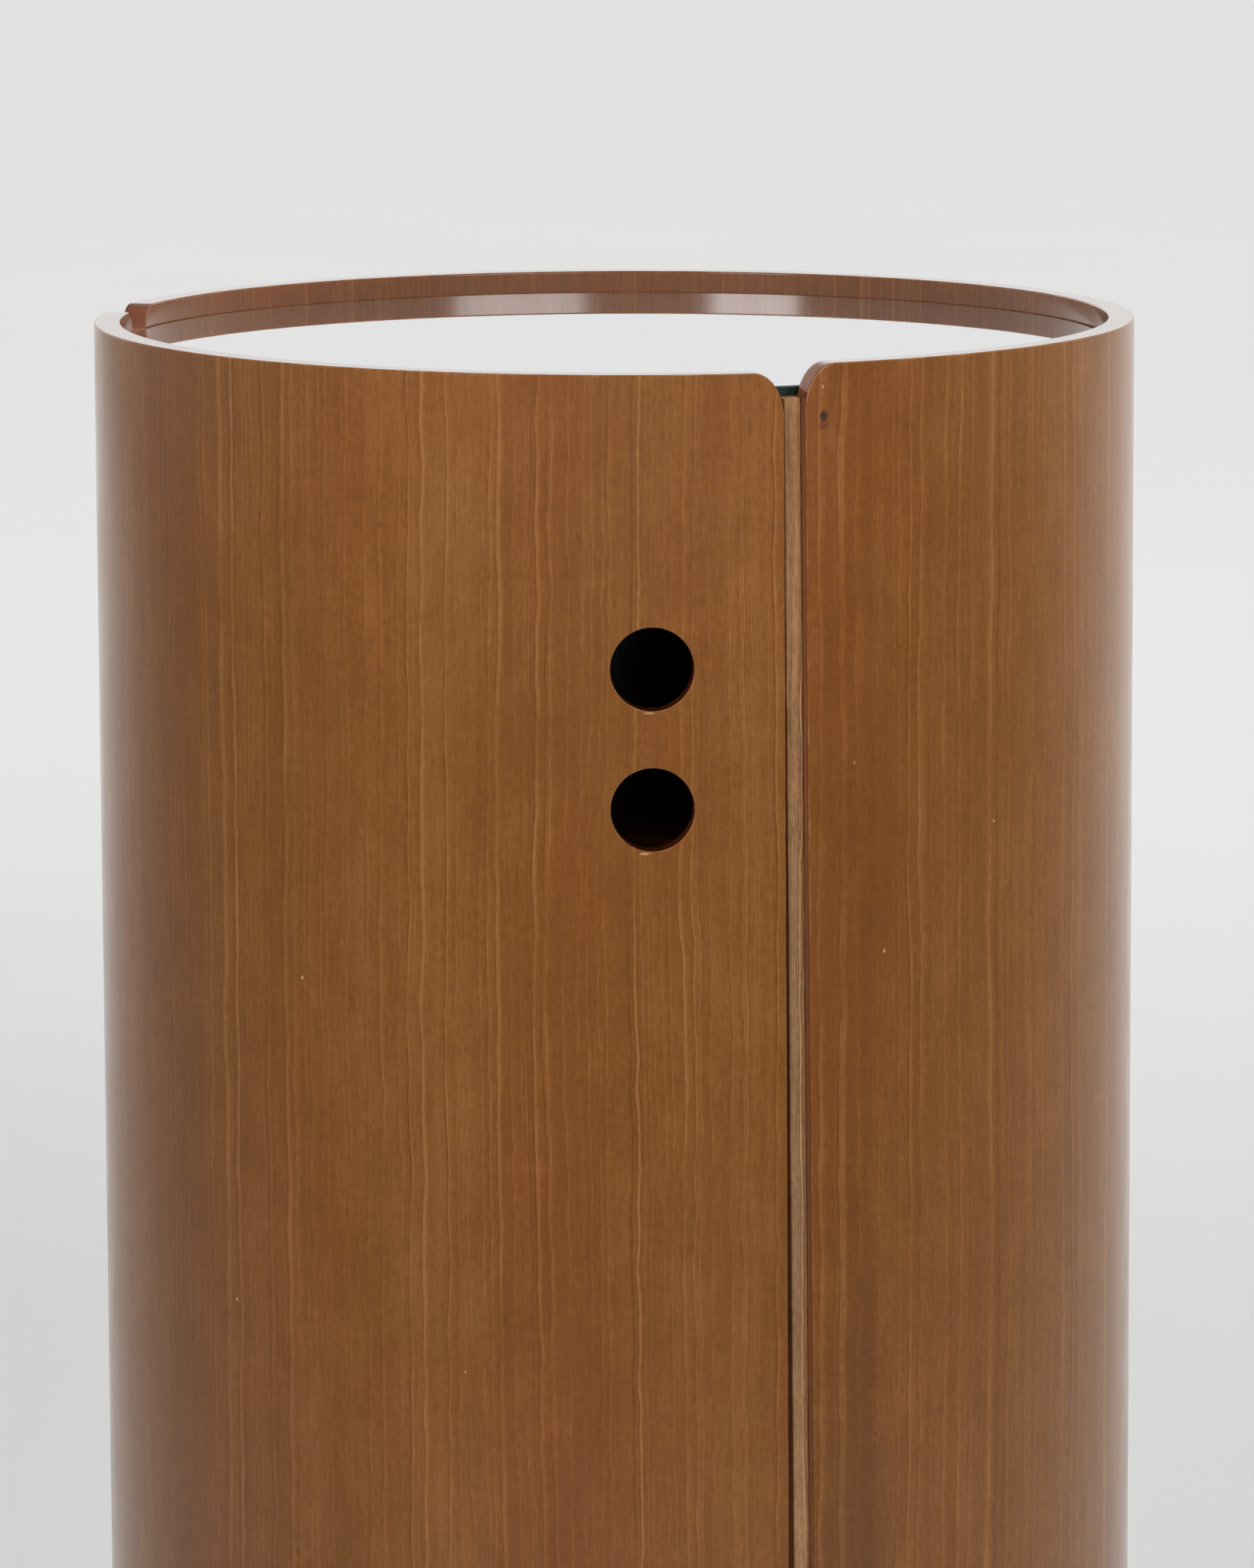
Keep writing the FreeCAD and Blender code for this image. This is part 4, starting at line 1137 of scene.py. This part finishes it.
def surroundings():
    """Pale light from all round, brightest behind the object and dim above."""
    world = bpy.data.worlds.new("studio")
    bpy.context.scene.world = world
    nodes = Nodes(world)
    ways = nodes.split(nodes.add("ShaderNodeTexCoord", {}, {}).outputs["Generated"])
    tone = AROUND
    for way, low, high, other in SKY_TONES:
        share = nodes.add("ShaderNodeMapRange", {}, {0: ways[way], 1: low, 2: high})
        tone = nodes.mix(share.outputs[0], tone, other)
    light = nodes.add("ShaderNodeBackground", {}, {"Color": tone})
    nodes.add("ShaderNodeOutputWorld", {}, {"Surface": light.outputs[0]})


def lamp(name, place, size, glow, spread_deg, aim=None):
    """Soft rectangular lamp that doesn't show in the gloss. One that isn't aimed shines straight down."""
    data = bpy.data.lights.new(name, "AREA")
    data.shape = "RECTANGLE"
    data.size, data.size_y = size
    data.energy = glow * math.pi * size[0] * size[1]
    data.spread = turn_of(spread_deg)
    made = bpy.data.objects.new(name, data)
    bpy.context.scene.collection.objects.link(made)
    made.location = place
    made.visible_camera = False
    made.visible_glossy = False
    if aim is not None:
        made.rotation_mode = "QUATERNION"
        made.rotation_quaternion = (aim - Vector(place)).to_track_quat("-Z", "Y")
    return made


floor()
surroundings()
for spec in OVERHEAD:
    lamp(*spec)
for spec in AIMED:
    lamp(*spec, LAMP_AIM)

# The two panels light nothing. They show in the gloss of the fixed shell alone
fixed_alone = bpy.data.collections.new("fixed_shell_alone")
fixed_alone.objects.link(fixed)
for spec in MIRRORED:
    panel = lamp(*spec, LAMP_AIM)
    panel.visible_glossy = True
    panel.visible_diffuse = False
    panel.light_linking.receiver_collection = fixed_alone

# Camera, as it was fitted to the photograph

CAMERA_PLACE = Vector((0, -3.7983, 1.2635))
CAMERA_PITCH = 0.15459
CAMERA_YAW = 0.00137
CAMERA_ROLL = -0.00441
CAMERA_LENS = 181.6
CAMERA_SENSOR = 36.0
CAMERA_NEAR = 0.1
CAMERA_FAR = 200.0


def camera():
    data = bpy.data.cameras.new("camera")
    data.lens = CAMERA_LENS
    data.sensor_width = CAMERA_SENSOR
    data.clip_start = CAMERA_NEAR
    data.clip_end = CAMERA_FAR
    made = bpy.data.objects.new("camera", data)
    bpy.context.scene.collection.objects.link(made)
    bpy.context.scene.camera = made
    ahead = Vector((
        math.sin(CAMERA_YAW) * math.cos(CAMERA_PITCH),
        math.cos(CAMERA_YAW) * math.cos(CAMERA_PITCH),
        -math.sin(CAMERA_PITCH),
    ))
    right = Vector((math.cos(CAMERA_YAW), -math.sin(CAMERA_YAW), 0))
    up = right.cross(ahead)
    rolled_right = right * math.cos(CAMERA_ROLL) + up * math.sin(CAMERA_ROLL)
    rolled_up = up * math.cos(CAMERA_ROLL) - right * math.sin(CAMERA_ROLL)
    turn = Matrix((rolled_right, rolled_up, -ahead)).transposed().to_4x4()
    made.matrix_world = Matrix.Translation(CAMERA_PLACE) @ turn


camera()
bpy.context.scene.view_settings.view_transform = "Standard"
